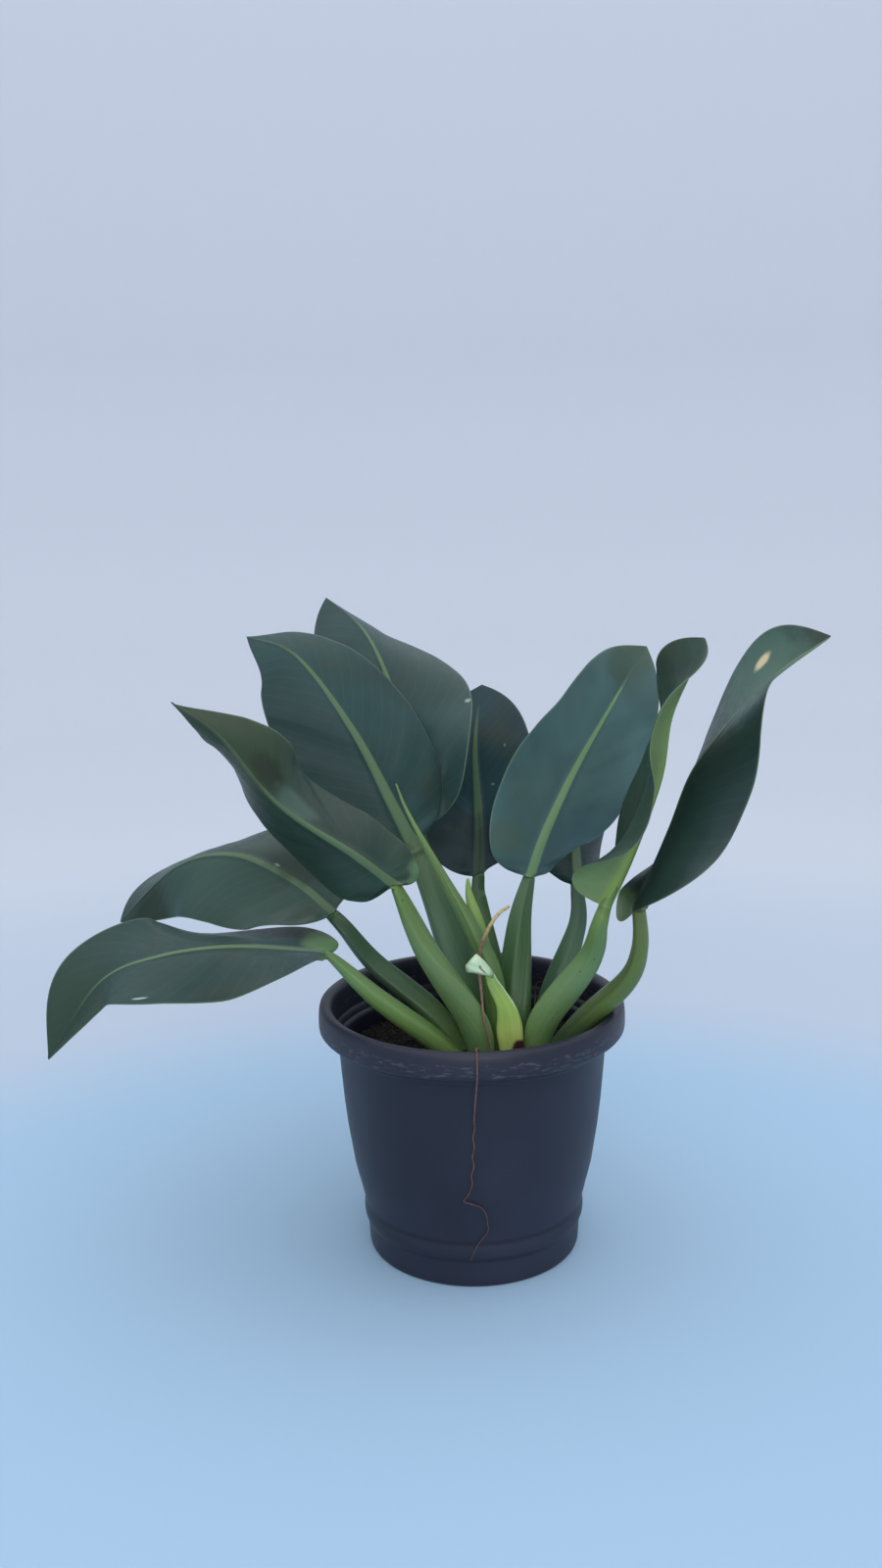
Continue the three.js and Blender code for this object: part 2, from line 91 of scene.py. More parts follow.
def band(tree, value, low, full_low, full_high, high):
    """A mask that is full between two inner limits and fades out at two outer ones."""
    return times(tree, between(tree, value, low, full_low), between(tree, value, high, full_high))


def blend(tree, share, first, second, kind="MIX"):
    """Mixes two colours by a share."""
    mix = place(tree, "ShaderNodeMix", {0: share, 6: first, 7: second}, data_type="RGBA", blend_type=kind)
    return mix.outputs[2]


def cloud(tree, spot, scale, detail, roughness=0.5):
    """A soft irregular value that changes over the surface."""
    inputs = {"Vector": spot, "Scale": scale, "Detail": detail, "Roughness": roughness}
    return place(tree, "ShaderNodeTexNoise", inputs).outputs[0]


def new_group(name, sockets, kind="ShaderNodeTree"):
    """A node group with named inputs, each given as its kind or as the number that it starts from."""
    group = bpy.data.node_groups.new(name, kind)
    for label, start in sockets.items():
        word = start if isinstance(start, str) else "Float"
        made = group.interface.new_socket(label, in_out="INPUT", socket_type="NodeSocket" + word)
        if start != word:
            made.default_value = start
    return group, place(group, "NodeGroupInput").outputs


def end_group(group, **masks):
    """Ends a shader group with named masks."""
    for label in masks:
        group.interface.new_socket(label, in_out="OUTPUT", socket_type="NodeSocketFloat")
    place(group, "NodeGroupOutput", masks)


def use(tree, group, inputs):
    """Places a shader group in a material with its own values, and gives its outputs."""
    return place(tree, "ShaderNodeGroup", inputs, node_tree=group).outputs


def new_finish(name, roughness=0.5, gloss=0.4):
    """An empty material, the tree to add nodes to, and the place on the piece that they read."""
    material = bpy.data.materials.new(name)
    material.use_nodes = True
    tree = material.node_tree
    shader = tree.nodes["Principled BSDF"]
    shader.inputs["Roughness"].default_value = roughness
    shader.inputs["Specular IOR Level"].default_value = gloss
    return material, tree, place(tree, "ShaderNodeTexCoord").outputs["Object"]


def coat(tree, colour, relief=None, strength=0, depth=0, rough=None):
    """Links the colour of a finish, its relief, which is as deep as depth in metres, and its roughness."""
    shader = tree.nodes["Principled BSDF"].inputs
    tree.links.new(colour, shader["Base Color"])
    if relief is not None:
        bump = place(tree, "ShaderNodeBump", {"Height": relief, "Strength": strength, "Distance": depth})
        tree.links.new(bump.outputs[0], shader["Normal"])
    if rough is not None:
        tree.links.new(rough, shader["Roughness"])


def settle(piece, node=None):
    """Smooth shading, and the piece takes the place of its solid on the one body."""
    piece.data.shade_smooth()
    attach(piece, "root")
    if node:
        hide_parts(node)


def piece_of(name, mesh):
    piece = bpy.data.objects.new(name, mesh)
    bpy.context.scene.collection.objects.link(piece)
    return piece


def built(name, build):
    """Ends a build as a piece whose faces point outwards."""
    bmesh.ops.recalc_face_normals(build, faces=build.faces)
    mesh = bpy.data.meshes.new(name)
    build.to_mesh(mesh)
    build.free()
    return piece_of(name, mesh)


def plain_mesh(piece):
    """Bakes the piece's modifiers into its mesh and takes them off."""
    bpy.context.view_layer.update()
    evaluated = piece.evaluated_get(bpy.context.evaluated_depsgraph_get())
    mesh = bpy.data.meshes.new_from_object(evaluated)
    piece.modifiers.clear()
    piece.data = mesh
    return piece


def turned(name, section, sides):
    """A closed solid turned about +Z from a section of radius and height in millimetres."""
    build = bmesh.new()
    line = [build.verts.new((radius * MM, 0, height * MM)) for radius, height in section]
    edges = [build.edges.new(pair) for pair in zip(line, line[1:])]
    bmesh.ops.spin(
        build, geom=line + edges, cent=(0, 0, 0), axis=(0, 0, 1), angle=math.tau, steps=sides,
        use_merge=True, use_duplicate=False,
    )
    bmesh.ops.remove_doubles(build, verts=build.verts, dist=1e-6)
    return built(name, build)


pot_wall = [
    (62, 2.5), (62.6, 0.8), (63.8, 0), (72.6, 0), (74.4, 0.8), (75.1, 2.6), (75.4, 6), (75.9, 17),
    (76.3, 19.4), (77.4, 21.6), (78.1, 23.4), (78.5, 26), (78.6, 29), (78.2, 31.6), (78.0, 34),
    (78.5, 37.4), (80, 43.6), (81.2, 49), (82.5, 54), (84.8, 64), (86.6, 76), (89, 92), (91, 110),
    (92.6, 130), (93.8, 146), (94.4, 152), (95.2, 156), (96.8, 158.6), (100, 160.2), (104.6, 160.9),
    (106.3, 161.5), (107.2, 162.8), (107.5, 164.8), (107.5, 168), (107.4, 172.5), (107.1, 176),
    (106.4, 178.4), (105.2, 179.6), (103.6, 180), (101.6, 179.9), (99.8, 179.1), (98.6, 177.5),
    (97.9, 174.8), (97.5, 171), (96.7, 156), (96.2, 153.8), (94.6, 153), (92.8, 152.4), (91.9, 150),
    (91.6, 146), (89.8, 120), (87.4, 95), (83, 64), (77, 40), (73.6, 14), (72.6, 8.4), (70, 6.5),
]
DRAIN_HOLES = 6
DRAIN_CIRCLE = 44 * MM
DRAIN_RADIUS = 5 * MM
FOOT_GROOVES = (0.0205, 0.0335)
pot = turned("nursery_pot", [(0, 0), (21, 0), (22.4, 0.4), (23.5, 2.5), *pot_wall, (0, 6.5)], 144)

drill = bmesh.new()
for hole in range(DRAIN_HOLES):
    angle = (hole + 0.5) * math.tau / DRAIN_HOLES
    where = Matrix.Translation((DRAIN_CIRCLE * math.cos(angle), DRAIN_CIRCLE * math.sin(angle), 0))
    bmesh.ops.create_cone(
        drill, cap_ends=True, segments=32, radius1=DRAIN_RADIUS, radius2=DRAIN_RADIUS, depth=30 * MM,
        matrix=where,
    )
drain_holes = built("drain_holes", drill)
bore = pot.modifiers.new("drain holes", "BOOLEAN")
bore.object = drain_holes
bore.operation = "DIFFERENCE"
bore.solver = "EXACT"
plain_mesh(pot)
bpy.data.objects.remove(drain_holes)

# Scuffs and dust: streaks rubbed pale in handling, and a dull film, both used on the pot's plastic
scuffs, scuff_in = new_group("scuffs_and_dust", {"Spot": "Vector", "Amount": 0.5, "Scale": 20})
streaks = place(scuffs, "ShaderNodeMapping", {"Vector": scuff_in["Spot"], "Scale": (1, 1, 5)}).outputs[0]
rub = cloud(scuffs, streaks, scuff_in["Scale"], 9, 0.72)
rub_edge = maths(scuffs, "SUBTRACT", 0.78, times(scuffs, scuff_in["Amount"], 0.24))
end_group(
    scuffs, Rubbed=between(scuffs, rub, rub_edge, maths(scuffs, "ADD", rub_edge, 0.12)),
    Film=between(scuffs, cloud(scuffs, scuff_in["Spot"], 9, 4), 0.35, 0.7),
)

plastic, tree, spot = new_finish("black_polypropylene", 0.42, 0.36)
height = split(tree, spot)["Z"]
rim_band = band(tree, height, 0.158, 0.164, 0.170, 0.180)
worn = use(tree, scuffs, {"Spot": spot, "Amount": maths(tree, "ADD", rim_band, 0.12), "Scale": 120})
colour = blend(tree, worn["Film"], tint(30, 32, 46), tint(38, 41, 57))
colour = blend(tree, times(tree, worn["Rubbed"], 0.4), colour, tint(104, 106, 112))
# Painted shade: each foot groove is darkened along its height, standing in for the shade in the hollow
for groove in FOOT_GROOVES:
    hollow = band(tree, height, groove - 0.0025, groove - 0.0005, groove + 0.0005, groove + 0.0025)
    colour = blend(tree, times(tree, hollow, 0.6), colour, tint(16, 17, 24))
skin = maths(tree, "MULTIPLY_ADD", cloud(tree, spot, 14, 1), 6.0, cloud(tree, spot, 900, 2))
coat(tree, colour, skin, 0.18, 0.0004, maths(tree, "MULTIPLY_ADD", worn["Film"], 0.12, 0.4))
pot.data.materials.append(plastic)
settle(pot, "pot")


# The soil: dark, crumbly potting mix that fills the pot to just under its inner ledge and rises to the
# crown. It is a turned fill with an uneven top, and loose crumbs are strewn over it by a node tree.
soil_section = [
    (0, 7), (69.4, 7), (73, 14.5), (76.4, 40), (82.4, 64), (86.8, 95), (89.2, 120), (89.9, 132), (90.2, 138),
]
soil_top = [(90, 139.6)] + [(88 - 4 * step, 140 + 0.26 * step) for step in range(22)] + [(0, 145.6)]
SOIL_RADIUS = 90 * MM
SOIL_BRINK = 139 * MM
LUMP_HEIGHT = 2.2 * MM
soil = turned("soil_fill", soil_section + soil_top, 120)
for vertex in soil.data.vertices:
    if vertex.co.z > SOIL_BRINK:
        lumps = noise.noise(vertex.co * 70) + 0.6 * noise.noise(vertex.co * 190)
        inside = min(1, (SOIL_RADIUS - vertex.co.xy.length) / (12 * MM))
        vertex.co.z += LUMP_HEIGHT * lumps * max(inside, 0)


def new_tree(name, sockets):
    """A geometry tree with named inputs of the kinds given."""
    return new_group(name, sockets, "GeometryNodeTree")


def end_tree(made, geometry, finish):
    """Every tree ends with its instances made real and its material set."""
    made.interface.new_socket("Result", in_out="OUTPUT", socket_type="NodeSocketGeometry")
    real = place(made, "GeometryNodeRealizeInstances", {0: geometry})
    painted = place(made, "GeometryNodeSetMaterial", {"Geometry": real.outputs[0], "Material": finish})
    place(made, "NodeGroupOutput", {0: painted.outputs[0]})


def grown(piece, made, **values):
    """Runs a geometry tree on a piece with named inputs, and leaves a plain mesh."""
    modifier = piece.modifiers.new(made.name, "NODES")
    modifier.node_group = made
    for item in made.interface.items_tree:
        key = item.name.replace(" ", "_")
        if item.in_out == "INPUT" and key in values:
            modifier[item.identifier] = values[key]
    return plain_mesh(piece)


strew, strew_in = new_tree("strew_crumbs", {
    "Ground": "Geometry", "Crumb": "Object", "Count Per Area": "Float", "Smallest": "Float",
    "Largest": "Float", "Seed": "Int", "Finish": "Material",
})
facing_up = split(strew, place(strew, "GeometryNodeInputNormal").outputs[0])["Z"]
on_top = place(strew, "FunctionNodeCompare", {0: facing_up, 1: 0.6}, operation="GREATER_THAN").outputs[0]
points = place(strew, "GeometryNodeDistributePointsOnFaces", {
    "Mesh": strew_in["Ground"], "Selection": on_top, "Density": strew_in["Count Per Area"],
    "Seed": strew_in["Seed"],
})
crumb_shape = place(strew, "GeometryNodeObjectInfo", {"Object": strew_in["Crumb"]})
full_turn = (6.28, 6.28, 6.28)
turn = place(
    strew, "FunctionNodeRandomValue", {"Min": (0, 0, 0), "Max": full_turn, "Seed": strew_in["Seed"]},
    data_type="FLOAT_VECTOR",
)
size = place(strew, "FunctionNodeRandomValue", {
    2: strew_in["Smallest"], 3: strew_in["Largest"], "Seed": strew_in["Seed"],
})
crumbs_on = place(strew, "GeometryNodeInstanceOnPoints", {
    "Points": points.outputs[0], "Instance": crumb_shape.outputs["Geometry"], "Rotation": turn.outputs[0],
    "Scale": size.outputs[1],
})
end_tree(strew, crumbs_on.outputs[0], strew_in["Finish"])

earth, tree, spot = new_finish("potting_mix", 0.95)
grains = cloud(tree, spot, 260, 6)
colour = blend(tree, between(tree, grains, 0.3, 0.75), tint(14, 13, 14), tint(36, 31, 30))
colour = blend(tree, between(tree, cloud(tree, spot, 45, 3), 0.45, 0.7), colour, tint(22, 20, 20))
coat(tree, colour, grains, 0.9, 0.002)
soil.data.materials.append(earth)

lump = bmesh.new()
bmesh.ops.create_icosphere(lump, subdivisions=1, radius=1)
for vertex in lump.verts:
    vertex.co *= 1 + 0.45 * noise.noise(vertex.co * 2.3)
crumb = built("crumb", lump)
crumbs = grown(
    piece_of("soil_crumbs", soil.data.copy()), strew, Crumb=crumb, Count_Per_Area=140000.0,
    Smallest=0.5 * MM, Largest=2.0 * MM, Seed=7, Finish=earth,
)
bpy.data.objects.remove(crumb)
settle(soil, "soil")
settle(crumbs)


# The crown: the short, thick, scarred stem that every leaf and root grows from, half sunk in the soil.
# It is turned, then knobbed, and set into the soil's top.
CROWN_MIDDLE = Vector((22, -18, 146))
CROWN_SHOULDER = 140 * MM
KNOB_HEIGHT = 1.4 * MM
crown = turned("crown_stem", [
    (0, 118.6), (31, 118.6), (36, 122), (37.6, 128), (37.4, 136), (36, 141), (33, 143.6), (28, 145),
    (20, 145.8), (10, 146), (0, 146),
], 96)
for vertex in crown.data.vertices:
    knobs = noise.noise(vertex.co * 120) + 0.5 * noise.noise(vertex.co * 300)
    vertex.co.xy *= 1 + 0.035 * knobs - 0.02
    if vertex.co.z > CROWN_SHOULDER:
        vertex.co.z += KNOB_HEIGHT * knobs - KNOB_HEIGHT
    vertex.co.xy += CROWN_MIDDLE.xy * MM

bark, tree, spot = new_finish("crown_bark", 0.8)
scars = cloud(tree, spot, 90, 6)
colour = blend(tree, between(tree, scars, 0.35, 0.7), tint(44, 36, 26), tint(92, 98, 54))
coat(tree, colour, scars, 0.6, 0.002)
crown.data.materials.append(bark)
settle(crown, "crown")


# The leaf stalks: ten thick, spongy stalks, swollen in the middle and flat on the upper side, pinched to
# a neck under the blade. Each is a section drawn as a straight tube and grown along its own route.
def keyed(keys, share):
    """The value of evenly spaced keys at a share from 0 to 1, on a smooth curve through all of them."""
    spans = len(keys) - 1
    at = min(max(share, 0), 1) * spans
    first = min(int(at), spans - 1)
    t = at - first
    start, end = keys[first], keys[first + 1]
    before = keys[first - 1] if first > 0 else start * 2 - end
    after = keys[first + 2] if first + 2 <= spans else end * 2 - start
    leave, arrive = (end - before) * 0.5, (after - start) * 0.5
    cubic = (start * 2 - end * 2 + leave + arrive) * t**3
    return cubic + (end * 3 - start * 3 - leave * 2 - arrive) * t**2 + leave * t + start


FINE_STEPS = 600


def smooth_route(points, steps=72):
    """Evenly spaced places, in metres, on a smooth curve through points in millimetres."""
    keys = [Vector(point) * MM for point in points]
    fine = [keyed(keys, step / FINE_STEPS) for step in range(FINE_STEPS + 1)]
    run = [0.0]
    for start, end in zip(fine, fine[1:]):
        run.append(run[-1] + (end - start).length)
    places, mark = [], 0
    for step in range(steps + 1):
        goal = run[-1] * step / steps
        while mark < FINE_STEPS - 1 and run[mark + 1] < goal:
            mark += 1
        share = (goal - run[mark]) / max(run[mark + 1] - run[mark], 1e-9)
        places.append(fine[mark].lerp(fine[mark + 1], min(share, 1)))
    return places, run[-1]


def tangents(places):
    steps = [b - a for a, b in zip(places, places[2:])]
    return [way.normalized() for way in (places[1] - places[0], *steps, places[-1] - places[-2])]


def squared(direction, tangent):
    """The direction turned square to the tangent."""
    return (direction - tangent * direction.dot(tangent)).normalized()


def guide(name, places, **tracks):
    """A line of points that a tree can follow, with a value or direction at each point."""
    mesh = bpy.data.meshes.new(name)
    mesh.from_pydata(places, [(i, i + 1) for i in range(len(places) - 1)], [])
    for label, values in tracks.items():
        if isinstance(values[0], Vector):
            track = mesh.attributes.new(label, "FLOAT_VECTOR", "POINT")
            track.data.foreach_set("vector", [c for value in values for c in value])
        else:
            track = mesh.attributes.new(label, "FLOAT", "POINT")
            track.data.foreach_set("value", values)
    return piece_of(name, mesh)


def guide_curve(made, guide_object):
    """The curve that a guide's line makes inside a tree."""
    line = place(made, "GeometryNodeObjectInfo", {"Object": guide_object}).outputs["Geometry"]
    return place(made, "GeometryNodeMeshToCurve", {"Mesh": line}).outputs[0]


def sampled(made, curve, label, kind, mode, at):
    """The value, place and tangent of a guide at a share or length along it."""
    track = place(made, "GeometryNodeInputNamedAttribute", {"Name": label}, data_type=kind)
    node = place(made, "GeometryNodeSampleCurve", {"Curves": curve}, mode=mode, data_type=kind)
    made.links.new(track.outputs["Attribute"], node.inputs["Value"])
    made.links.new(at, node.inputs["Factor" if mode == "FACTOR" else "Length"])
    return node.outputs


def scaled(made, vector, amount):
    return vectors(made, "SCALE", vector, amount)


def summed(made, *parts):
    total = parts[0]
    for part in parts[1:]:
        total = vectors(made, "ADD", total, part)
    return total


grow, grow_in = new_tree("grow_along_route", {"Tube": "Geometry", "Route": "Object", "Finish": "Material"})
route_curve = guide_curve(grow, grow_in["Route"])
tube_xyz = split(grow, place(grow, "GeometryNodeInputPosition").outputs[0])
girth_at = sampled(grow, route_curve, "girth", "FLOAT", "FACTOR", tube_xyz["Y"])["Value"]
up_at = sampled(grow, route_curve, "up", "FLOAT_VECTOR", "FACTOR", tube_xyz["Y"])
side_at = vectors(grow, "CROSS_PRODUCT", up_at["Tangent"], up_at["Value"])
reach = summed(
    grow, up_at["Position"], scaled(grow, side_at, times(grow, tube_xyz["X"], girth_at)),
    scaled(grow, up_at["Value"], times(grow, tube_xyz["Z"], girth_at)),
)
grown_tube = place(grow, "GeometryNodeSetPosition", {"Geometry": grow_in["Tube"], "Position": reach})
end_tree(grow, grown_tube.outputs[0], grow_in["Finish"])


def closed_rings(name, places):
    """A closed solid over rings of places, charted once round it across and from end to end along."""
    build = bmesh.new()
    chart = build.loops.layers.uv.new("chart")
    loops = [[build.verts.new(corner) for corner in ring] for ring in places]
    sides, rings = len(loops[0]), len(loops) - 1
    for ring, (near, far) in enumerate(zip(loops, loops[1:])):
        for side in range(sides):
            after = (side + 1) % sides
            face = build.faces.new((near[side], near[after], far[after], far[side]))
            corners = ((side, ring), (side + 1, ring), (side + 1, ring + 1), (side, ring + 1))
            for loop, (u, v) in zip(face.loops, corners):
                loop[chart].uv = (u / sides, v / rings)
    for v, ring in ((0, loops[0]), (1, loops[-1])):
        middle = build.verts.new(sum((vertex.co for vertex in ring), Vector()) / sides)
        for side in range(sides):
            face = build.faces.new((ring[side], ring[(side + 1) % sides], middle))
            for loop in face.loops:
                loop[chart].uv = (side / sides, v)
    return built(name, build)


def tube(name, outline, rings):
    """A straight closed tube along +Y from 0 to 1, with a section that may change along it."""
    shares = [ring / rings for ring in range(rings + 1)]
    return closed_rings(name, [[(x, share, z) for x, z in outline(share)] for share in shares])


def around(sides):
    """Evenly spaced angles once round a section."""
    return [math.tau * side / sides for side in range(sides)]


def d_section(ridge):
    """A section flat above, with softly raised edges or a low ridge, and full and round below."""
    def outline(share):
        ring = []
        for angle in around(36):
            x, z = math.cos(angle), math.sin(angle)
            if z > 0:
                z = 0.46 * z**0.6 + 0.05 * x**4 + ridge * max(0, 1 - abs(x) / 0.75)
            else:
                z = -0.95 * abs(z) ** 0.9
            ring.append((-x, z))
        return ring
    return outline


# Long fine streaks, faint specks and a mottled tone, as on all the stalks, the spear and its sheaths
grain, grain_in = new_group("stalk_grain", {"Chart": "Vector", "Spot": "Vector", "Streaks": 30})
long_way = place(grain, "ShaderNodeMapping", {"Vector": grain_in["Chart"], "Scale": (1, 0.06, 1)}).outputs[0]
dots = place(grain, "ShaderNodeTexVoronoi", {"Vector": grain_in["Spot"], "Scale": 130.0, "Randomness": 1.0})
near_dot = between(grain, dots.outputs["Distance"], 0.14, 0.07)
some_dots = between(grain, cloud(grain, grain_in["Spot"], 33, 0), 0.56, 0.64)
end_group(
    grain, Streak=between(grain, cloud(grain, long_way, grain_in["Streaks"], 5), 0.3, 0.7),
    Tone=between(grain, cloud(grain, grain_in["Spot"], 28, 3), 0.3, 0.7),
    Speck=times(grain, near_dot, some_dots),
)


def chart_of(tree):
    """The chart of a piece: once round it across, and from its foot to its tip along."""
    return place(tree, "ShaderNodeUVMap", uv_map="chart").outputs[0]


def stalk_finish(name, foot, middle, top, roughness=0.4, joint=None):
    """A green stalk, its colour running from its foot through its middle to its neck."""
    material, tree, spot = new_finish(name, roughness)
    along = split(tree, chart_of(tree))["Y"]
    marks = use(tree, grain, {"Chart": chart_of(tree), "Spot": spot, "Streaks": 34})
    colour = blend(tree, between(tree, along, 0.02, 0.45), foot, middle)
    colour = blend(tree, between(tree, along, 0.5, 0.95), colour, top)
    colour = blend(tree, times(tree, marks["Streak"], 0.28), colour, (0.66, 0.74, 0.62, 1), "MULTIPLY")
    colour = blend(tree, times(tree, marks["Tone"], 0.28), colour, (0.66, 0.76, 0.66, 1), "MULTIPLY")
    colour = blend(tree, times(tree, marks["Speck"], 0.6), colour, tint(38, 46, 30))
    if joint:
        ring = band(tree, along, joint - 0.009, joint - 0.003, joint + 0.003, joint + 0.009)
        colour = blend(tree, times(tree, ring, 0.15), colour, tint(150, 176, 120))
    rough = maths(tree, "MULTIPLY_ADD", marks["Tone"], 0.12, roughness - 0.06)
    coat(tree, colour, marks["Streak"], 0.22, 0.0006, rough)
    return material


VIEWER = (0, -1, 0.3)
TAPER_PAST_NECK = 0.45


def stem(
    name, outline, points, girths, finish, node=None, rings=72, steps=None,
    faces=(VIEWER, VIEWER), neck=1.0,
):
    """
    Grows a tube along a route. Its widths, in millimetres, are keyed evenly up to the neck's share of the
    way and taper after it. Faces are the ways that its upper side looks at its foot and at its end.
    """
    steps = steps or rings
    places, _ = smooth_route(points, steps)
    shares = [step / steps for step in range(steps + 1)]
    first, last = [Vector(face).normalized() for face in faces]
    ups = [squared(first.lerp(last, share), way) for share, way in zip(shares, tangents(places))]
    past_neck = [max(0, share - neck) / (1.0001 - neck) for share in shares]
    widths = [keyed(girths, s / neck) * (1 - TAPER_PAST_NECK * past) for s, past in zip(shares, past_neck)]
    line = guide(name + "_route", places, girth=[width / 2 * MM for width in widths], up=ups)
    piece = grown(tube(name, outline, rings), grow, Route=line, Finish=finish)
    bpy.data.objects.remove(line)
    settle(piece, node)
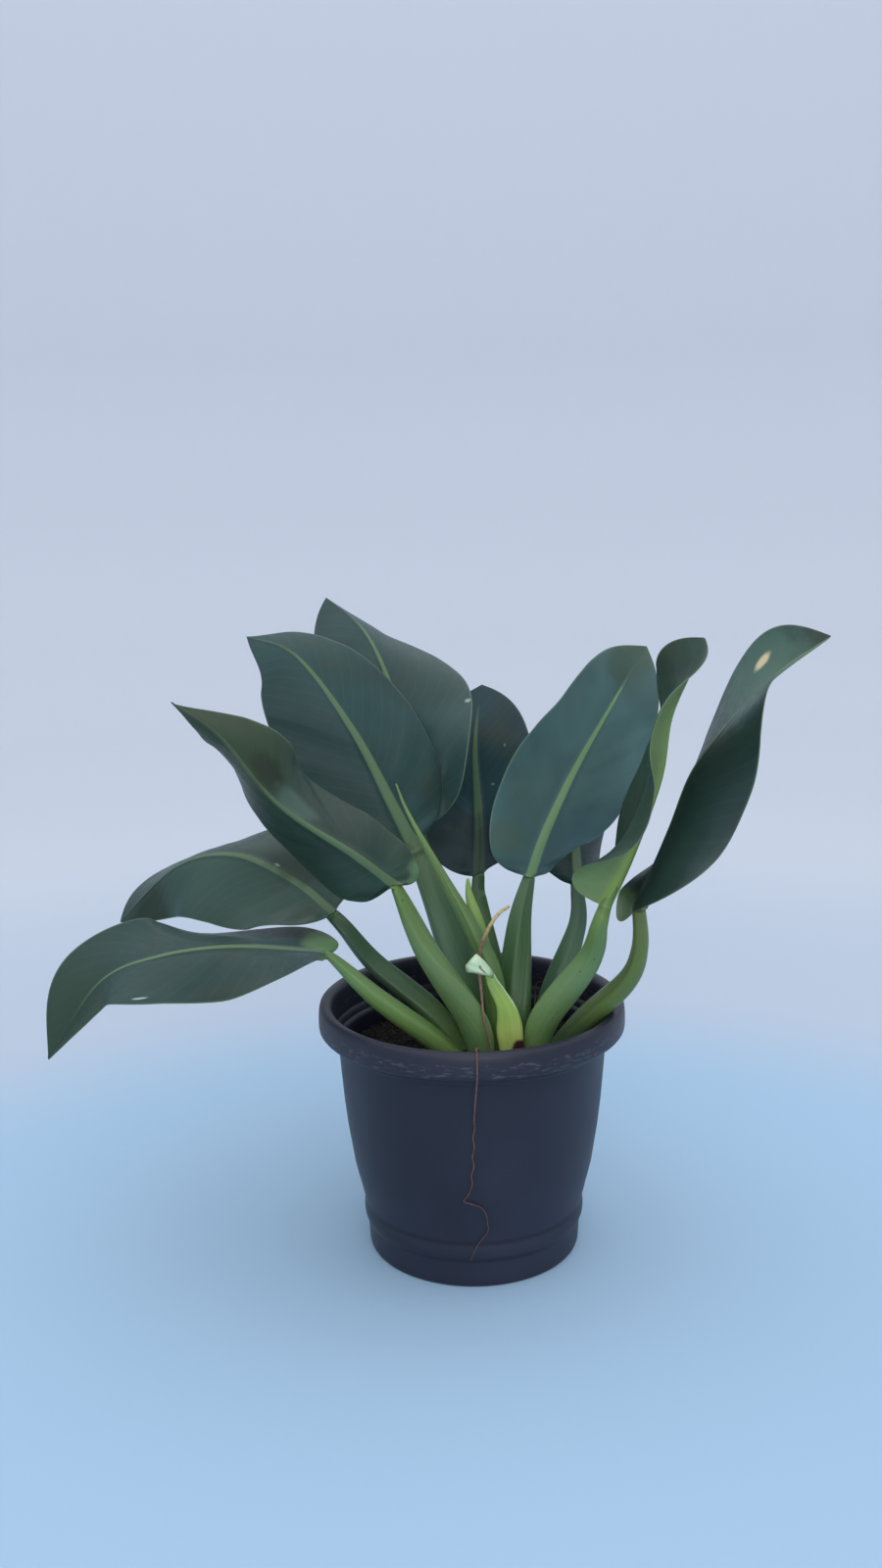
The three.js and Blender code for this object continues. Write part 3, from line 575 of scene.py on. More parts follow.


# The leaves from the lowest on the left to the far right. Places and widths are in millimetres. Fold and
# curl are how far each half stands up or hangs from base to tip, and roll how far the upper side turns, in
# degrees. Lobe is how far a half reaches back past the stalk, and tip shapes its point. A mark is a place
# and size on the blade's chart, a colour and how strong it is; some marks are painted shade and painted
# sheen, as noted at each. Many numbers of midrib, half, roll, fold, curl, lobe and tip are rounded results
# of a fit to outline points marked in a photograph of the plant, and many greens were worked out from its
# mean colours, so these weren't all chosen by hand. Each leaf's and stalk's greens are thus partly their
# own tone and partly painted light and shade, for how brightly that leaf or stalk is lit.
leaves = [
    dict(
        name="01", facing=(-0.2, -0.35, 0.9), roll=[10, 4, 1, 1], half=54,
        midrib=[(-100, -33, 225), (-160, -41, 233), (-209, -52, 230), (-248, -54, 213), (-280, -73, 168)],
        left=dict(lobe=1, fold=[23, -1, 12, 20], curl=[0, -14, -1, 25]),
        right=dict(lobe=12, fold=[-4, -14, 5, 19], curl=[5, -13, 7, 17]),
        foot=(-4, -25), stalk=[(-29, -27, 164.5), (-64, -30, 193)], girths=[16, 21, 20, 15, 6], lead=6,
        stalk_green=[(119, 150, 84), (108, 140, 80), (96, 128, 76)], ridge=0.06,
        green=(34, 61, 57), gloss=0.2, rib_width=4, billow=0.9,
        marks=[((0.5, 0.64), (0.2, 0.14), (44, 60, 40), 0.5),
               ((0.350, 0.400), (0.004, 0.011), (176, 190, 184), 0.7),
               ((0.56, 0.0), (0.07, 0.045), (96, 128, 84), 0.9)],
    ),
    dict(
        name="02", facing=(-0.2, -0.5, 0.85), roll=[6, -1, 5, -6], half=55,
        midrib=[(-95, 1, 242), (-124, 21, 261), (-168, 40, 276), (-214, 59, 263), (-260, 71, 218)],
        left=dict(lobe=1, fold=[17, -7, -11, -5], curl=[13, -8, -7, 0]),
        right=dict(lobe=-4, tip=(0.75, 0.95), fold=[1, -13, -22, -8], curl=[-5, -12, -26, -18]),
        foot=(-3, -7), stalk=[(-26, -6, 172), (-66, -1, 206)], girths=[15, 18, 17, 14, 10],
        stalk_green=[(107, 133, 85), (61, 87, 62), (54, 79, 56)], ridge=0.06,
        green=(36, 62, 54), gloss=0.25, rib=0.55, rib_width=3.6, billow=1.1,
        marks=[((0.518, 0.195), (0.005, 0.007), (170, 186, 160), 0.7),
               # Painted shade: the dark patch near the tip on the left half stands for the shade under the
               # folded-down tip
               ((0.43, 0.6), (0.09, 0.07), (20, 38, 22), 0.8),
               ((0.54, 0.16), (0.05, 0.07), (16, 36, 22), 0.6)],
    ),
    dict(
        name="03", facing=(-0.2, -0.6, 0.7), roll=[-10, -5, -5, -7], half=45,
        midrib=[(-51, -48, 276), (-75, -60, 299), (-123, -73, 337), (-155, -86, 382), (-184, -90, 405)],
        left=dict(lobe=0, tip=(0.3, 0.85), fold=[-25, -54, -65, -75], curl=[-48, -64, -61, -73]),
        right=dict(lobe=16, tip=(0.3, 0.84), fold=[-9, -16, -17, -22], curl=[-18, -21, -19, -20]),
        foot=(8, -40), stalk=[(0, -41, 182), (-31, -45, 234)], girths=[14, 25, 25, 17, 6.5], lead=4,
        stalk_green=[(105, 137, 88), (99, 126, 79), (92, 121, 63)], ridge=0.08,
        green=(40, 60, 50), gloss=0.22, rib=0.7, rib_width=3, billow=1.6,
        marks=[((0.54, 0.52), (0.13, 0.2), (56, 68, 42), 0.5),
               ((0.535, 0.383), (0.03, 0.06), (34, 40, 32), 0.6),
               # Painted sheen: this pale patch stands in for a soft band of highlight on the blade
               ((0.53, 0.29), (0.03, 0.06), (74, 96, 86), 0.6),
               ((0.555, -0.06), (0.07, 0.035), (84, 114, 82), 0.9)],
    ),
    dict(
        name="04", facing=(-0.1, -0.95, 0.4), roll=[6, 1, 0, 6], half=54,
        midrib=[(-38, 35, 279), (-53, 41, 309), (-82, 53, 364), (-121, 67, 415), (-159, 86, 428)],
        left=dict(lobe=-4, tip=(0.62, 0.85), fold=[0, 0, 6, 5], curl=[0, 0, 1, -5]),
        right=dict(lobe=-6, fold=[-20, -20, -24, -38], curl=[-30, -23, -25, -24]),
        foot=(13, -13), stalk=[(-1, -2, 186), (-23, 23, 243)], girths=[15, 24, 24, 19, 15], lead=8,
        stalk_green=[(83, 114, 70), (69, 99, 73), (70, 94, 61)], ridge=0.1,
        green=(41, 65, 64), gloss=0.16, rib=0.7, billow=1.3,
    ),
    dict(
        name="05", facing=(-0.2, -0.9, 0.4), roll=[-10, -7, 17, 24], half=57,
        midrib=[(-36, 68, 284), (-44, 96, 336), (-56, 115, 386), (-75, 132, 426), (-106, 163, 450)],
        left=dict(lobe=0, tip=(0.83, 0.91), fold=[0, -3, -5, -10], curl=[0, -8, -15, -24]),
        right=dict(lobe=-1, tip=(0.6, 0.87), fold=[12, 3, -30, -54], curl=[20, 12, -20, -48]),
        foot=(9, 6), stalk=[(-2, 22, 182), (-27, 50, 246)], girths=[15, 22, 19, 14, 9],
        stalk_green=[(64, 92, 56), (58, 86, 58), (60, 88, 60)], ridge=0.06,
        green=(38, 63, 61), gloss=0.32, rib_width=4.4, billow=1.2,
        # Painted highlight: the first mark is a small pale spot near the right rim
        marks=[((0.680, 0.295), (0.008, 0.005), (160, 178, 168), 0.6)],
    ),
    dict(
        name="06", facing=(0, -0.8, 0.6), roll=[8, 1, -5], half=48,
        midrib=[(8, 66, 252), (9, 102, 289), (8, 141, 336), (15, 186, 377)],
        left=dict(lobe=3, tip=(0.65, 0.9), fold=[6, -7, -10], curl=[8, -6, -5]),
        right=dict(lobe=-6, tip=(0.7, 0.9), fold=[22, 15, 13], curl=[17, 11, 10]),
        foot=(29, 8), stalk=[(18, 27, 180), (9, 52, 230)], girths=[15, 20, 17, 12, 9],
        stalk_green=[(73, 110, 57), (61, 95, 52), (51, 78, 48)], ridge=0.06,
        green=(32, 57, 63), gloss=0.18, rib=0.6, billow=0.9,
        # Painted shade: the first mark darkens the lower part of the blade, standing in for the shade it lies
        # in
        marks=[((0.5, 0.04), (0.2, 0.12), (14, 34, 38), 0.6),
               ((0.542, 0.252), (0.004, 0.004), (120, 132, 124), 0.6),
               ((0.579, 0.362), (0.003, 0.005), (120, 132, 124), 0.5)],
    ),
    dict(
        name="07", facing=(0.1, -0.95, 0.25), roll=[11, 3, 11, -2], half=48,
        midrib=[(43, 20, 262), (54, 18, 295), (75, 22, 339), (106, 34, 390), (128, 53, 420)],
        left=dict(lobe=1, tip=(0.6, 0.9), fold=[6, 11, 17, 12], curl=[6, 14, 17, 12]),
        right=dict(lobe=0, tip=(0.6, 0.88), fold=[-27, -9, -4, 11], curl=[-38, -12, -12, 6]),
        foot=(29, -14), stalk=[(29.5, -9.3, 173), (34.5, 10, 229)], girths=[15, 23, 21.5, 16, 8], lead=3,
        stalk_green=[(68, 101, 50), (59, 91, 53), (74, 102, 72)], ridge=0.34,
        green=(79, 107, 105), gloss=0.16, rib_width=4.6, billow=1.2,
        marks=[((0.405, 0.079), (0.05, 0.035), (78, 92, 70), 0.45),
               ((0.475, 0.565), (0.06, 0.07), (66, 82, 66), 0.6)],
    ),
    dict(
        name="08", facing=(0.3, -0.8, 0.5), roll=[11, 5, 0], half=46,
        midrib=[(79, 41, 250), (81, 74, 281), (94, 106, 324), (109, 140, 373)],
        left=dict(lobe=2, fold=[1, -8, -13], curl=[0, 0, 0]),
        right=dict(lobe=6, fold=[-18, -22, -11], curl=[-32, -29, 0]),
        foot=(45, -3), stalk=[(60, 10, 182), (77, 28, 223)], girths=[15, 21, 18, 13, 9], lead=4,
        stalk_green=[(72, 109, 69), (61, 93, 67), (44, 70, 52)], ridge=0.2,
        green=(12, 40, 36), gloss=0.15, billow=0.9,
    ),
    dict(
        name="09", facing=(-0.57, 0.8, 0.3), roll=[-10, 11, 28, 47, 90], half=52,
        midrib=[
            (85, -65, 265), (102, -63, 300), (119, -66, 348), (125, -70, 387), (137, -67, 414),
            (148, -61, 437),
        ],
        left=dict(lobe=8, tip=(1.15, 0.96), fold=[39, 39, 22, 4, 4], curl=[12, 14, 12, 3, -5]),
        right=dict(lobe=1, tip=(0.5, 0.9), fold=[28, 9, 16, 27, 17], curl=[-47, -70, -60, -29, -10]),
        foot=(41, -37), stalk=[(47, -40, 178), (76, -53, 224)], girths=[15, 23, 23, 16.5, 9],
        stalk_green=[(112, 144, 86), (103, 132, 86), (98, 128, 66)], ridge=0.08,
        green=(46, 66, 55), gloss=0.18, billow=0.8,
    ),
    dict(
        name="10", facing=(-0.8, -0.35, 0.5), roll=[-25, -25, -17, -15, 1], half=55,
        midrib=[
            (109, -51, 260), (130, -46, 310), (145, -47, 350), (171, -46, 384), (196, -46, 410),
            (230, -52, 436),
        ],
        left=dict(lobe=17, tip=(0.88, 0.88), fold=[16, -18, -12, 7, 34], curl=[-8, -9, -6, 0, 11]),
        right=dict(lobe=5, fold=[33, 2, 0, 23, 41], curl=[-97, -81, -59, -24, 19]),
        foot=(49, -21), stalk=[(76, -27, 174), (103.5, -37, 205), (111, -43, 230)],
        girths=[16, 22, 20, 15, 11], lead=0,
        stalk_green=[(80, 100, 73), (90, 113, 59), (99, 114, 57)], ridge=0.1,
        green=(38, 58, 54), gloss=0.32, billow=0.8,
        # Painted sheen: the first mark is a broad pale patch near the tip, standing in for soft highlight
        marks=[((0.47, 0.56), (0.14, 0.12), (74, 108, 94), 0.7),
               ((0.432, 0.588), (0.013, 0.022), (206, 190, 152), 1.0),
               ((0.44, -0.04), (0.09, 0.055), (112, 136, 92), 0.95)],
    ),
]


def midrib_of(leaf, steps=96):
    """The midrib's places, tangents and upper directions, and its length in metres."""
    places, length = smooth_route(leaf["midrib"], steps)
    ways = tangents(places)
    ups = []
    for step, way in enumerate(ways):
        facing = squared(Vector(leaf["facing"]), way)
        roll = math.radians(keyed(leaf["roll"], step / steps))
        ups.append(facing * math.cos(roll) + way.cross(facing) * math.sin(roll))
    return places, ways, ups, length


FOOT_HEIGHT = 141
USUAL_LEAD = 12
for leaf in leaves:
    label = "stalk_" + leaf["name"]
    places, ways, ups, _ = midrib_of(leaf)
    start, way, up = places[0] / MM, ways[0], ups[0]
    foot = Vector((*leaf["foot"], FOOT_HEIGHT))
    inward = (CROWN_MIDDLE + Vector((0, 0, 14)) - Vector((*leaf["foot"], CROWN_MIDDLE.z))).normalized()
    lead = leaf.get("lead", USUAL_LEAD)
    # It comes up behind the blade, passes just under the midrib's start and ends under the blade
    to_joint = [foot, *leaf["stalk"], start - way * lead - up * lead * 0.4, start - up * 2.2]
    whole_way = [*to_joint, start + way * 15 - up * 2]
    neck = smooth_route(to_joint)[1] / smooth_route(whole_way)[1]
    finish = stalk_finish(label + "_green", *[tint(*c) for c in leaf["stalk_green"]], joint=neck)
    stem(
        label, d_section(leaf["ridge"]), whole_way, leaf["girths"], finish,
        f"leaf_{leaf['name']}_stalk", faces=(inward, up), neck=neck,
    )


# The leaf blades: long, leathery, undivided blades with a pale midrib, keeled beneath, and faint side
# veins that sweep to a smooth rim. Each is cut flat as a closed sheet with its ribs in relief, and a
# tree then bends it along its midrib, where each half folds and curls by the amounts given there.
BASE_SHARE = 0.4
WIDEST_STATION = 0.38
USUAL_TIP = (0.5, 0.86)


def half_outline(half, length, side, share):
    """Across and along of one half's rim, from the stalk (0) to the tip (1), in metres."""
    widest = WIDEST_STATION * length
    lobe = side["lobe"] * MM
    broad, high = side.get("tip", USUAL_TIP)
    if share < BASE_SHARE:
        t = share / BASE_SHARE
        arc = [(0, 0), (0.3 * half, -2.1 * lobe), (half, -0.9 * lobe), (half, widest)]
    else:
        t = (share - BASE_SHARE) / (1 - BASE_SHARE)
        shoulder = widest + 0.55 * (length - widest)
        arc = [(half, widest), (half, shoulder), (broad * half, high * length), (0, length)]
    weights = ((1 - t) ** 3, 3 * t * (1 - t) ** 2, 3 * t**2 * (1 - t), t**3)
    return [sum(w * point[axis] for w, point in zip(weights, arc)) for axis in (0, 1)]


bend, bend_in = new_tree("bend_along_midrib", {
    "Flat Blade": "Geometry", "Midrib": "Object", "Half Width": "Float", "Finish": "Material",
})
rib_curve = guide_curve(bend, bend_in["Midrib"])
rib_length = place(bend, "GeometryNodeCurveLength", {"Curve": rib_curve}).outputs[0]
flat = split(bend, place(bend, "GeometryNodeInputPosition").outputs[0])
station = place(bend, "ShaderNodeClamp", {"Value": flat["Y"], "Min": 0.0, "Max": rib_length}).outputs[0]
up_here = sampled(bend, rib_curve, "up", "FLOAT_VECTOR", "LENGTH", station)
on_right = maths(bend, "GREATER_THAN", flat["X"], 0.0)
outward_sign = maths(bend, "MULTIPLY_ADD", on_right, 2.0, -1.0)
across = maths(bend, "ABSOLUTE", flat["X"])


def of_half(label):
    """The left or the right value of a guide's track, by the half that the point is on."""
    pair = split(bend, sampled(bend, rib_curve, label, "FLOAT_VECTOR", "LENGTH", station)["Value"])
    names = {"Factor": on_right, "A": pair["X"], "B": pair["Y"]}
    return place(bend, "ShaderNodeMix", names, data_type="FLOAT").outputs[0]


fold = of_half("fold")
curl = maths(bend, "DIVIDE", times(bend, of_half("curl"), across), bend_in["Half Width"])
half_curl = maths(bend, "MULTIPLY_ADD", curl, 0.5, 0.00001)
chord = times(bend, across, maths(bend, "DIVIDE", maths(bend, "SINE", half_curl), half_curl))
rise = maths(bend, "ADD", fold, half_curl)
tilt = maths(bend, "ADD", fold, curl)
outward = scaled(bend, vectors(bend, "CROSS_PRODUCT", up_here["Tangent"], up_here["Value"]), outward_sign)
leaning = times(bend, times(bend, flat["Z"], maths(bend, "SINE", tilt)), -1.0)
bent = summed(
    bend, up_here["Position"], scaled(bend, up_here["Tangent"], maths(bend, "SUBTRACT", flat["Y"], station)),
    scaled(bend, outward, times(bend, chord, maths(bend, "COSINE", rise))),
    scaled(bend, up_here["Value"], times(bend, chord, maths(bend, "SINE", rise))),
    scaled(bend, up_here["Value"], times(bend, flat["Z"], maths(bend, "COSINE", tilt))),
    scaled(bend, outward, leaning),
)
bent_blade = place(bend, "GeometryNodeSetPosition", {"Geometry": bend_in["Flat Blade"], "Position": bent})
end_tree(bend, bent_blade.outputs[0], bend_in["Finish"])

ROWS = 88
COLUMNS = [
    0, 0.02, 0.045, 0.07, 0.1, 0.13, 0.17, 0.22, 0.28, 0.36, 0.44, 0.53, 0.62, 0.71, 0.8, 0.88, 0.94, 0.98, 1,
]
VEIN_SLOPE = 1.9
CHART_SPAN = 0.3
BLADE_THICKNESS = 1 * MM
KEEL_DEPTH = 4.6 * MM
KEEL_REACH = 4 * MM
RIDGE_HEIGHT = 0.9 * MM
GROOVE_DEPTH = 0.3 * MM
TRACKS = ("across", "edge", "vein", "under", "along")


def bell(distance, power=2):
    return math.exp(-(distance**power))


def flat_blade(leaf, length):
    """The blade cut flat: its upper and lower faces, with the midrib, veins and rim in relief."""
    build = bmesh.new()
    chart = build.loops.layers.uv.new("chart")
    tracks = [build.verts.layers.float.new(label) for label in TRACKS]
    half = leaf["half"] * MM
    drift = 7.3 * int(leaf["name"])

    def point(side, part, share):
        """The upper and lower corner at a part of the way from the midrib to the rim."""
        sign = -1 if side == "left" else 1
        root = length * share**VEIN_SLOPE
        rim_across, rim_along = half_outline(half, length, leaf[side], share)
        x, y = rim_across * part, root + (rim_along - root) * part
        u = min(max(y / length, 0), 1)
        rib = 4.8 * MM * (1 - u) ** 1.25 + 0.7 * MM
        ridge = RIDGE_HEIGHT * (1 - u) ** 0.8 * bell(x / rib, 4)
        groove = GROOVE_DEPTH * (1 - u) * bell((x - 1.7 * rib) / (0.7 * rib))
        swell = math.sin(0.6 * math.pi * part) * (1 - u**3)
        broad = noise.noise(Vector((sign * part * 1.1 + drift, share * 4.2, drift)))
        close = noise.noise(Vector((sign * part * 0.9 - drift, share * 15, drift)))
        fine = noise.noise(Vector((sign * part * 1.5 - drift, share * 55, drift)))
        billow = MM * leaf["billow"] * swell * (2.4 * broad + 1.1 * close + 0.08 * fine)
        keel = KEEL_DEPTH * (1 - u) ** 1.1 * bell(x / KEEL_REACH) * math.exp(min(y, 0) / (1.5 * MM))
        round_rim = 0.35 * MM * max(0, (part - 0.94) / 0.06) ** 2
        upper = ridge - groove + billow - round_rim
        lower = billow - BLADE_THICKNESS - keel + round_rim
        made = []
        for z, under in ((upper, 0), (lower, 1)):
            vertex = build.verts.new((sign * x, y, z))
            for track, value in zip(tracks, (x, part, share, under, u)):
                vertex[track] = value
            made.append(vertex)
        return made

    rows = []
    for row in range(ROWS + 1):
        share = row / ROWS
        middle = point("right", 0, share)
        if row in (0, ROWS):
            rows.append([middle] * (2 * len(COLUMNS) - 1))
            continue
        left = [point("left", part, share) for part in reversed(COLUMNS[1:])]
        rows.append([*left, middle, *[point("right", part, share) for part in COLUMNS[1:]]])

    def face(*corners):
        unique = list(dict.fromkeys(corners))
        if len(unique) > 2:
            build.faces.new(unique)

    for low, high in zip(rows, rows[1:]):
        for a, b, c, d in zip(low, low[1:], high[1:], high):
            face(a[0], b[0], c[0], d[0])
            face(d[1], c[1], b[1], a[1])
        for rim in (0, -1):
            corners = (low[rim][0], low[rim][1], high[rim][1], high[rim][0])
            face(*(corners if rim else corners[::-1]))
    for made in build.faces:
        for loop in made.loops:
            loop[chart].uv = (loop.vert.co.x / CHART_SPAN + 0.5, loop.vert.co.y / CHART_SPAN)
    return built("blade_" + leaf["name"], build)


# Midrib, side veins and rim of a blade as masks, from the blade's own measures at each point
veins, vein_in = new_group("leaf_veins", {
    "Across": 0, "Along": 0, "Edge": 0, "Vein": 0, "Spot": "Vector", "Rib Width": 0.0045, "Count": 30,
})
still_to_go = maths(veins, "SUBTRACT", 1.0, vein_in["Along"])
rib_here = times(veins, vein_in["Rib Width"], maths(veins, "POWER", still_to_go, 1.25))
rib_here = maths(veins, "ADD", rib_here, 0.0006)
rib_mask = between(veins, vein_in["Across"], rib_here, times(veins, rib_here, 0.6))
sway = times(veins, maths(veins, "SUBTRACT", cloud(veins, vein_in["Spot"], 24, 2), 0.5), 0.02)
turns = times(veins, maths(veins, "ADD", vein_in["Vein"], sway), vein_in["Count"])
main_wave, fine_wave = [maths(veins, "COSINE", times(veins, turns, math.tau * count)) for count in (1, 4)]
end_group(
    veins, Rib=times(veins, rib_mask, between(veins, vein_in["Along"], 0.93, 0.72)),
    Veins=between(veins, main_wave, 0.75, 1.0), Fine=between(veins, fine_wave, 0.2, 1.0),
    Rim=between(veins, vein_in["Edge"], 0.975, 0.995),
)

# Broad and fine unevenness of tone in a leaf's green
mottle, mottle_in = new_group("leaf_mottling", {"Spot": "Vector", "Scale": 14})
shifted = place(mottle, "ShaderNodeMapping", {"Vector": mottle_in["Spot"], "Location": (3, 1, 2)}).outputs[0]
end_group(
    mottle, Broad=between(mottle, cloud(mottle, mottle_in["Spot"], mottle_in["Scale"], 3), 0.3, 0.7),
    Patch=between(mottle, cloud(mottle, shifted, mottle_in["Scale"], 2), 0.52, 0.72),
    Fine=between(mottle, cloud(mottle, mottle_in["Spot"], 240, 4), 0.3, 0.7),
)

# One irregular mark at a place on a blade's chart, such as a scar, a scratch or a tinged patch, and also
# patches of painted shade and painted sheen
mark, mark_in = new_group("leaf_mark", {"Chart": "Vector", "Place": "Vector", "Size": "Vector"})
offset = vectors(mark, "SUBTRACT", mark_in["Chart"], mark_in["Place"])
length = vectors(mark, "LENGTH", vectors(mark, "DIVIDE", offset, mark_in["Size"]))
ragged = cloud(mark, mark_in["Chart"], 34, 2)
length = maths(mark, "MULTIPLY_ADD", ragged, 0.7, maths(mark, "SUBTRACT", length, 0.35))
end_group(mark, Mask=between(mark, length, 1.35, 0.6))


def shade(colour, amount):
    """A screen colour made darker or lighter by a factor."""
    return tint(*[min(255, channel * amount) for channel in colour])


def leaf_rib(leaf):
    """The midrib's colour on the upper side, the same green on every leaf but darker on dark ones."""
    depth = leaf["green"][1] / 80
    return shade((98, 124, 86), 0.5 + 0.6 * depth)


USUAL_RIB_WIDTH = 5.2
USUAL_RIB = 0.85


def blade_finish(leaf):
    """Leathery green above, paler and duller beneath, with a pale midrib and a thin light rim."""
    material, tree, spot = new_finish("blade_green_" + leaf["name"], 0.4, leaf["gloss"])
    track = {
        label: place(tree, "ShaderNodeAttribute", attribute_name=label).outputs["Fac"] for label in TRACKS
    }
    marks = use(tree, veins, {
        "Across": track["across"], "Along": track["along"], "Edge": track["edge"], "Vein": track["vein"],
        "Spot": spot, "Rib Width": leaf.get("rib_width", USUAL_RIB_WIDTH) * MM, "Count": 24,
    })
    tone = use(tree, mottle, {"Spot": spot, "Scale": 15})
    green = leaf["green"]
    upper = blend(tree, tone["Broad"], shade(green, 0.9), shade(green, 1.1))
    upper = blend(tree, times(tree, tone["Patch"], 0.4), upper, shade((78, 84, 62), green[1] / 84))
    upper = blend(tree, times(tree, marks["Veins"], 0.03), upper, tint(110, 134, 110))
    upper = blend(tree, times(tree, marks["Fine"], 0.03), upper, tint(24, 34, 30))
    upper = blend(tree, times(tree, marks["Rib"], leaf.get("rib", USUAL_RIB)), upper, leaf_rib(leaf))
    lower = blend(tree, tone["Broad"], tint(100, 124, 82), tint(114, 140, 94))
    lower = blend(tree, times(tree, marks["Veins"], 0.14), lower, tint(126, 152, 100))
    lower = blend(tree, marks["Rib"], lower, tint(118, 146, 80))
    for (u, v), (wide, high), paint, amount in leaf.get("marks", []):
        mask = use(tree, mark, {"Chart": chart_of(tree), "Place": (u, v, 0), "Size": (wide, high, 1)})["Mask"]
        upper = blend(tree, times(tree, mask, amount), upper, tint(*paint))
    colour = blend(tree, track["under"], upper, lower)
    colour = blend(tree, times(tree, marks["Rim"], 0.25), colour, tint(128, 146, 116))
    rough = maths(tree, "MULTIPLY_ADD", tone["Fine"], 0.08, 0.36)
    rough = maths(tree, "MULTIPLY_ADD", track["under"], 0.2, rough)
    relief = maths(tree, "MULTIPLY_ADD", tone["Fine"], 0.3, marks["Veins"])
    relief = maths(tree, "MULTIPLY_ADD", marks["Fine"], 0.25, relief)
    coat(tree, colour, relief, 0.05, 0.0004, rough)
    return material


for leaf in leaves:
    places, _, ups, length = midrib_of(leaf)
    shares = [step / (len(places) - 1) for step in range(len(places))]
    angles = {
        key: [
            Vector((keyed(leaf["left"][key], s), keyed(leaf["right"][key], s), 0)) * math.radians(1)
            for s in shares
        ]
        for key in ("fold", "curl")
    }
    line = guide("midrib_" + leaf["name"], places, up=ups, **angles)
    blade = grown(
        flat_blade(leaf, length), bend, Midrib=line, Half_Width=leaf["half"] * MM, Finish=blade_finish(leaf),
    )
    bpy.data.objects.remove(line)
    settle(blade, f"leaf_{leaf['name']}_blade")


# The spear: the newest leaf, still rolled tight round itself and pale green, with the rolled rim showing
# as one long seam. Behind it stands the short, flat, pointed sheath that it came out of.
def rolled_section(share):
    """A round section that steps in where the outer turn of the roll ends; the seam winds slowly."""
    ring = []
    for angle in around(36):
        radius = 1 - 0.16 * angle / math.tau
        wound = angle + 0.9 + 1.1 * share
        ring.append((-radius * math.cos(wound), radius * math.sin(wound)))
    return ring


def flat_section(share):
    return [(-math.cos(a), 0.42 * math.sin(a) - 0.25 * math.cos(a) ** 2) for a in around(24)]


spear_green = stalk_finish("spear_green", tint(96, 128, 68), tint(88, 116, 66), tint(112, 136, 80), 0.45)
spear_route = [(18, -27, 141), (14.5, -22, 200), (2, -16, 231), (-19, -7, 270), (-42, 2, 313), (-50, 6, 333)]
stem(
    "spear_leaf", rolled_section, spear_route, [13, 16.5, 14, 9, 4.4, 1.2], spear_green, "spear",
    rings=110,
)
sheath_green = stalk_finish("sheath_green", tint(88, 120, 62), tint(112, 142, 74), tint(134, 162, 86), 0.45)
sheath_route = [
    (25, -20.8, 142), (21, -16, 172), (11, -10, 206), (5, -7, 234), (-0.5, -3, 255), (-1.5, -2, 267),
]
stem(
    "spear_sheath_leaf", flat_section, sheath_route, [5, 8, 11, 11, 9, 2], sheath_green,
    "spear_sheath", rings=60, steps=72,
)


# The cataphyll: a pale, thin sheath leaf in front, yellow-green and brown at its foot, with one pale
# margin. Its limp tip is folded over to the left in a flat mint-coloured cap with a slit in it; the shade
# in the slit and along the crease is painted on as dark lines.
def crescent_section(share):
    """A flattened tube with a keel along its right side, hollowed along its left."""
    ring = []
    for angle in around(30):
        x, z = -math.cos(angle), 0.36 * math.sin(angle)
        hollow = 0.2 * bell((x + 0.35) / 0.3) * (1 - share)
        ring.append((x, z + 0.16 * bell((x - 0.8) / 0.16) - hollow))
    return ring


def near_line(tree, spot, start, end, inner, outer):
    """A mask that fades from a short line between two places in metres, between two distances."""
    along = Vector(end) - Vector(start)
    offset = vectors(tree, "SUBTRACT", spot, start)
    share = vectors(tree, "DOT_PRODUCT", offset, along)
    share = maths(tree, "DIVIDE", share, along.length_squared, use_clamp=True)
    return between(tree, vectors(tree, "DISTANCE", offset, scaled(tree, along, share)), outer, inner)


hood, tree, spot = new_finish("cataphyll_skin", 0.42)
side = split(tree, chart_of(tree))["X"]
height = split(tree, spot)["Z"]
marks = use(tree, grain, {"Chart": chart_of(tree), "Spot": spot, "Streaks": 26})
colour = blend(tree, between(tree, height, 0.166, 0.184), tint(174, 190, 104), tint(152, 184, 94))
colour = blend(tree, between(tree, height, 0.190, 0.208), colour, tint(142, 174, 98))
colour = blend(tree, times(tree, marks["Streak"], 0.3), colour, (0.72, 0.82, 0.66, 1), "MULTIPLY")
margin = times(tree, band(tree, side, 0.40, 0.43, 0.52, 0.56), between(tree, height, 0.184, 0.194))
colour = blend(tree, margin, colour, tint(190, 220, 176))
dull_side = times(tree, between(tree, side, 0.38, 0.46), between(tree, height, 0.186, 0.176))
colour = blend(tree, times(tree, dull_side, 0.7), colour, tint(158, 160, 118))
foot_spot = near_line(tree, spot, (0.0275, -0.052, 0.150), (0.0315, -0.049, 0.162), 0.0035, 0.006)
colour = blend(tree, foot_spot, colour, tint(62, 32, 36))
coat(tree, colour, marks["Streak"], 0.25, 0.0006)
hood_route = [
    (26.2, -46, 141), (25.9, -46, 158), (24.9, -46, 170), (24, -46, 181), (21.5, -46.5, 191), (17, -47, 200),
    (13.5, -48, 207), (11.5, -48.5, 213),
]
stem(
    "cataphyll_leaf", crescent_section, hood_route, [12, 14, 17, 18, 15, 11, 9, 6], hood,
    "cataphyll", rings=90,
)

SLIT_START = (0.0052, -0.0555, 0.2206)
mint, tree, spot = new_finish("cataphyll_cap_skin", 0.45)
colour = blend(tree, cloud(tree, spot, 160, 2), tint(178, 208, 166), tint(202, 224, 192))
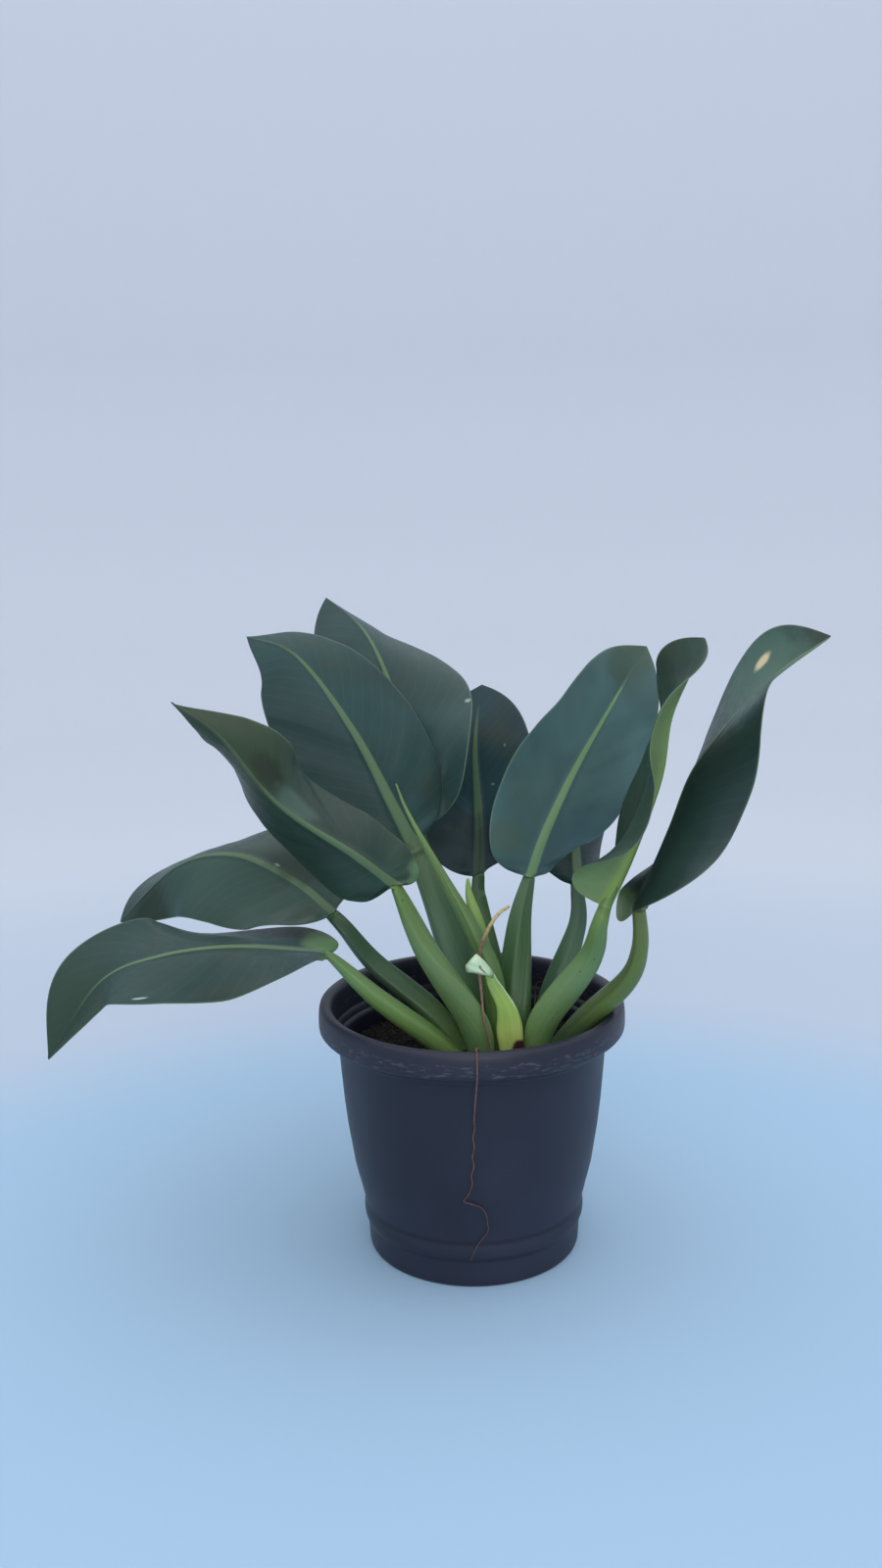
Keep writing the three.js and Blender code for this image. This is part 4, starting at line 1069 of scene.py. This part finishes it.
# Painted shade: a darker line along the cap's crease, and a dark line for the shade inside the slit, which
# the mesh doesn't open
painted_crease_shade = near_line(tree, spot, (-0.0030, -0.0555, 0.2235), SLIT_START, 0.0003, 0.0022)
colour = blend(tree, times(tree, painted_crease_shade, 0.35), colour, tint(120, 160, 112))
painted_slit_shade = near_line(tree, spot, SLIT_START, (0.0100, -0.0545, 0.2160), 0.0008, 0.0016)
coat(tree, blend(tree, painted_slit_shade, colour, tint(74, 66, 34)))
cap_rim = [
    (2.6, -54, 229.6), (-1.3, -54, 225.6), (-4.7, -55, 221.9), (-4.1, -55, 217.1), (3.1, -55, 215.7),
    (10.3, -53, 213.5), (13.4, -50.5, 211), (14.6, -49.5, 214), (11.2, -51, 219.6), (7.4, -52.4, 224.6),
]
# The rim drawn in and set forward makes the fold's front, and less drawn in and set back its rear
fold_line = [(x * 0.6 + 1.9, y - 1.6, z * 0.6 + 88.6) for x, y, z in cap_rim]
back_line = [(x * 0.8 + 1, y + 1.4, z * 0.8 + 44.2) for x, y, z in cap_rim]
cap_rings = [[Vector(corner) * MM for corner in line] for line in (fold_line, cap_rim, back_line)]
cap = closed_rings("cataphyll_cap", cap_rings)
cap.data.materials.append(mint)
settle(cap)


# The roots in the air: a stout brown one that rises from the crown with a pale growing tip, a thin one
# that hangs over the rim and down the front of the pot, and two short ends on the inner wall and soil.
def root_section(share):
    return [(-math.cos(angle), math.sin(angle)) for angle in around(10)]


def root_finish(name, old, young, start, end):
    """Brown, papery and wrinkled, turning to a younger colour towards its tip."""
    material, tree, spot = new_finish(name, 0.75)
    wrinkles = cloud(tree, spot, 420, 4)
    colour = blend(tree, between(tree, split(tree, chart_of(tree))["Y"], start, end), old, young)
    colour = blend(tree, between(tree, wrinkles, 0.4, 0.65, 0, 0.6), colour, (0.45, 0.4, 0.36, 1), "MULTIPLY")
    coat(tree, colour, wrinkles, 0.5, 0.0006)
    return material


aerial_route = [
    (16, -50, 141), (10, -54, 172), (7, -54, 186), (6, -49, 199), (5, -38, 212), (6, -34, 226),
    (11, -35, 240), (18, -36, 251), (25, -38, 257),
]
aerial_skin = root_finish("aerial_root_skin", tint(126, 104, 86), tint(196, 182, 128), 0.72, 0.9)
stem(
    "aerial_root_strand", root_section, aerial_route, [1.8, 1.6, 1.9, 2.6, 2.3], aerial_skin,
    "aerial_root", rings=120,
)
OFF_WALL = 1.1


def wall_place(x, z):
    """A point just off the pot's outer wall at a sideways place and a height, in millimetres."""
    outer_wall = pot_wall[4:39]
    pairs = zip(outer_wall, outer_wall[1:])
    low, high = next(pair for pair in pairs if pair[0][1] <= z <= pair[1][1])
    radius = low[0] + (high[0] - low[0]) * (z - low[1]) / max(high[1] - low[1], 0.01) + OFF_WALL
    return (x, -math.sqrt(radius**2 - x**2), z)


over_rim = [
    (10, -53, 141), (6, -76, 160), (3, -93, 174), (2, -98, 180.5), (1, -102, 181.6), (1, -106, 180.8),
    (1, -108.6, 176), (1, -108.6, 164), (0, -105, 150), (-1, -99.5, 132),
]
wanders = [
    (-0.6, 124), (-1.8, 117), (-1, 110), (-2.2, 103), (-1.4, 96), (-3, 89), (-2.6, 82), (-4.8, 75), (-8, 69),
    (-3, 67), (3.4, 64), (6.6, 58), (7.4, 51), (7.8, 45), (4, 38), (0.4, 33), (-1.8, 28), (-4, 22),
]
thin_skin = root_finish("hanging_root_skin", tint(108, 82, 76), tint(92, 70, 66), 0.2, 0.8)
down_wall = [wall_place(x, z) for x, z in wanders]
stem(
    "hanging_root_strand", root_section, over_rim + down_wall, [1.3, 1.2, 1.1, 1, 0.6], thin_skin,
    "hanging_root", rings=260,
)
for name, route in (
    ("wall_strand", [(48, 60, 141), (50, 76, 152), (51, 78, 162), (56, 77, 164), (63, 71, 163)]),
    ("soil_strand", [(-34, -40, 141), (-30, -38, 143.5), (-22, -34, 144.5), (-12, -33, 144)]),
):
    stem(name, root_section, route, [1, 0.9, 0.6], thin_skin, rings=40)


# The studio: a pale seamless sweep that rises all round, open above to soft daylight, one large weak
# panel in front, and the camera at the height and distance of the photograph.
sweep_line = [(0, -0.3), (1700, -0.3), (2100, 30), (2500, 180), (2780, 460), (2920, 860), (2980, 2100)]
sweep = turned("studio_sweep", sweep_line, 96)
for face in sweep.data.polygons:
    face.flip()
sweep.data.shade_smooth()
backdrop, tree, spot = new_finish("pale_backdrop", 0.95, 0.1)
from_front = vectors(tree, "DISTANCE", spot, (0, -0.2, 0))
pale = blend(tree, between(tree, from_front, 0.5, 0.75), tint(160, 188, 212), tint(178, 190, 205))
coat(tree, blend(tree, between(tree, from_front, 0.8, 1.5), pale, tint(194, 200, 210)))
sweep.data.materials.append(backdrop)

bpy.context.scene.view_settings.view_transform = "Standard"
world = bpy.data.worlds.new("soft_daylight")
world.use_nodes = True
sky = world.node_tree.nodes["Background"].inputs
sky["Color"].default_value = (0.87, 0.9, 0.95, 1)
sky["Strength"].default_value = 1.55
bpy.context.scene.world = world

panel = bpy.data.lights.new("front_panel", "AREA")
panel.size = 1.8
panel.energy = 24
panel.color = (1.0, 0.98, 0.95)
lamp = piece_of("front_panel", panel)
lamp.location = (0.2, -2.5, 0.9)
lamp.rotation_euler = (Vector((0, 0, 0.25)) - lamp.location).to_track_quat("-Z", "Y").to_euler()

LOOKS_DOWN = 11.34
LEANS = -0.89
lens = bpy.data.cameras.new("photo_camera")
lens.lens = 33.75
lens.clip_start = 0.01
camera = piece_of("photo_camera", lens)
camera.location = (-0.019, -0.985, 0.531)
pitch = Euler((math.radians(90 - LOOKS_DOWN), 0, 0)).to_matrix()
camera.rotation_euler = (pitch @ Matrix.Rotation(math.radians(LEANS), 3, "Z")).to_euler()
bpy.context.scene.camera = camera
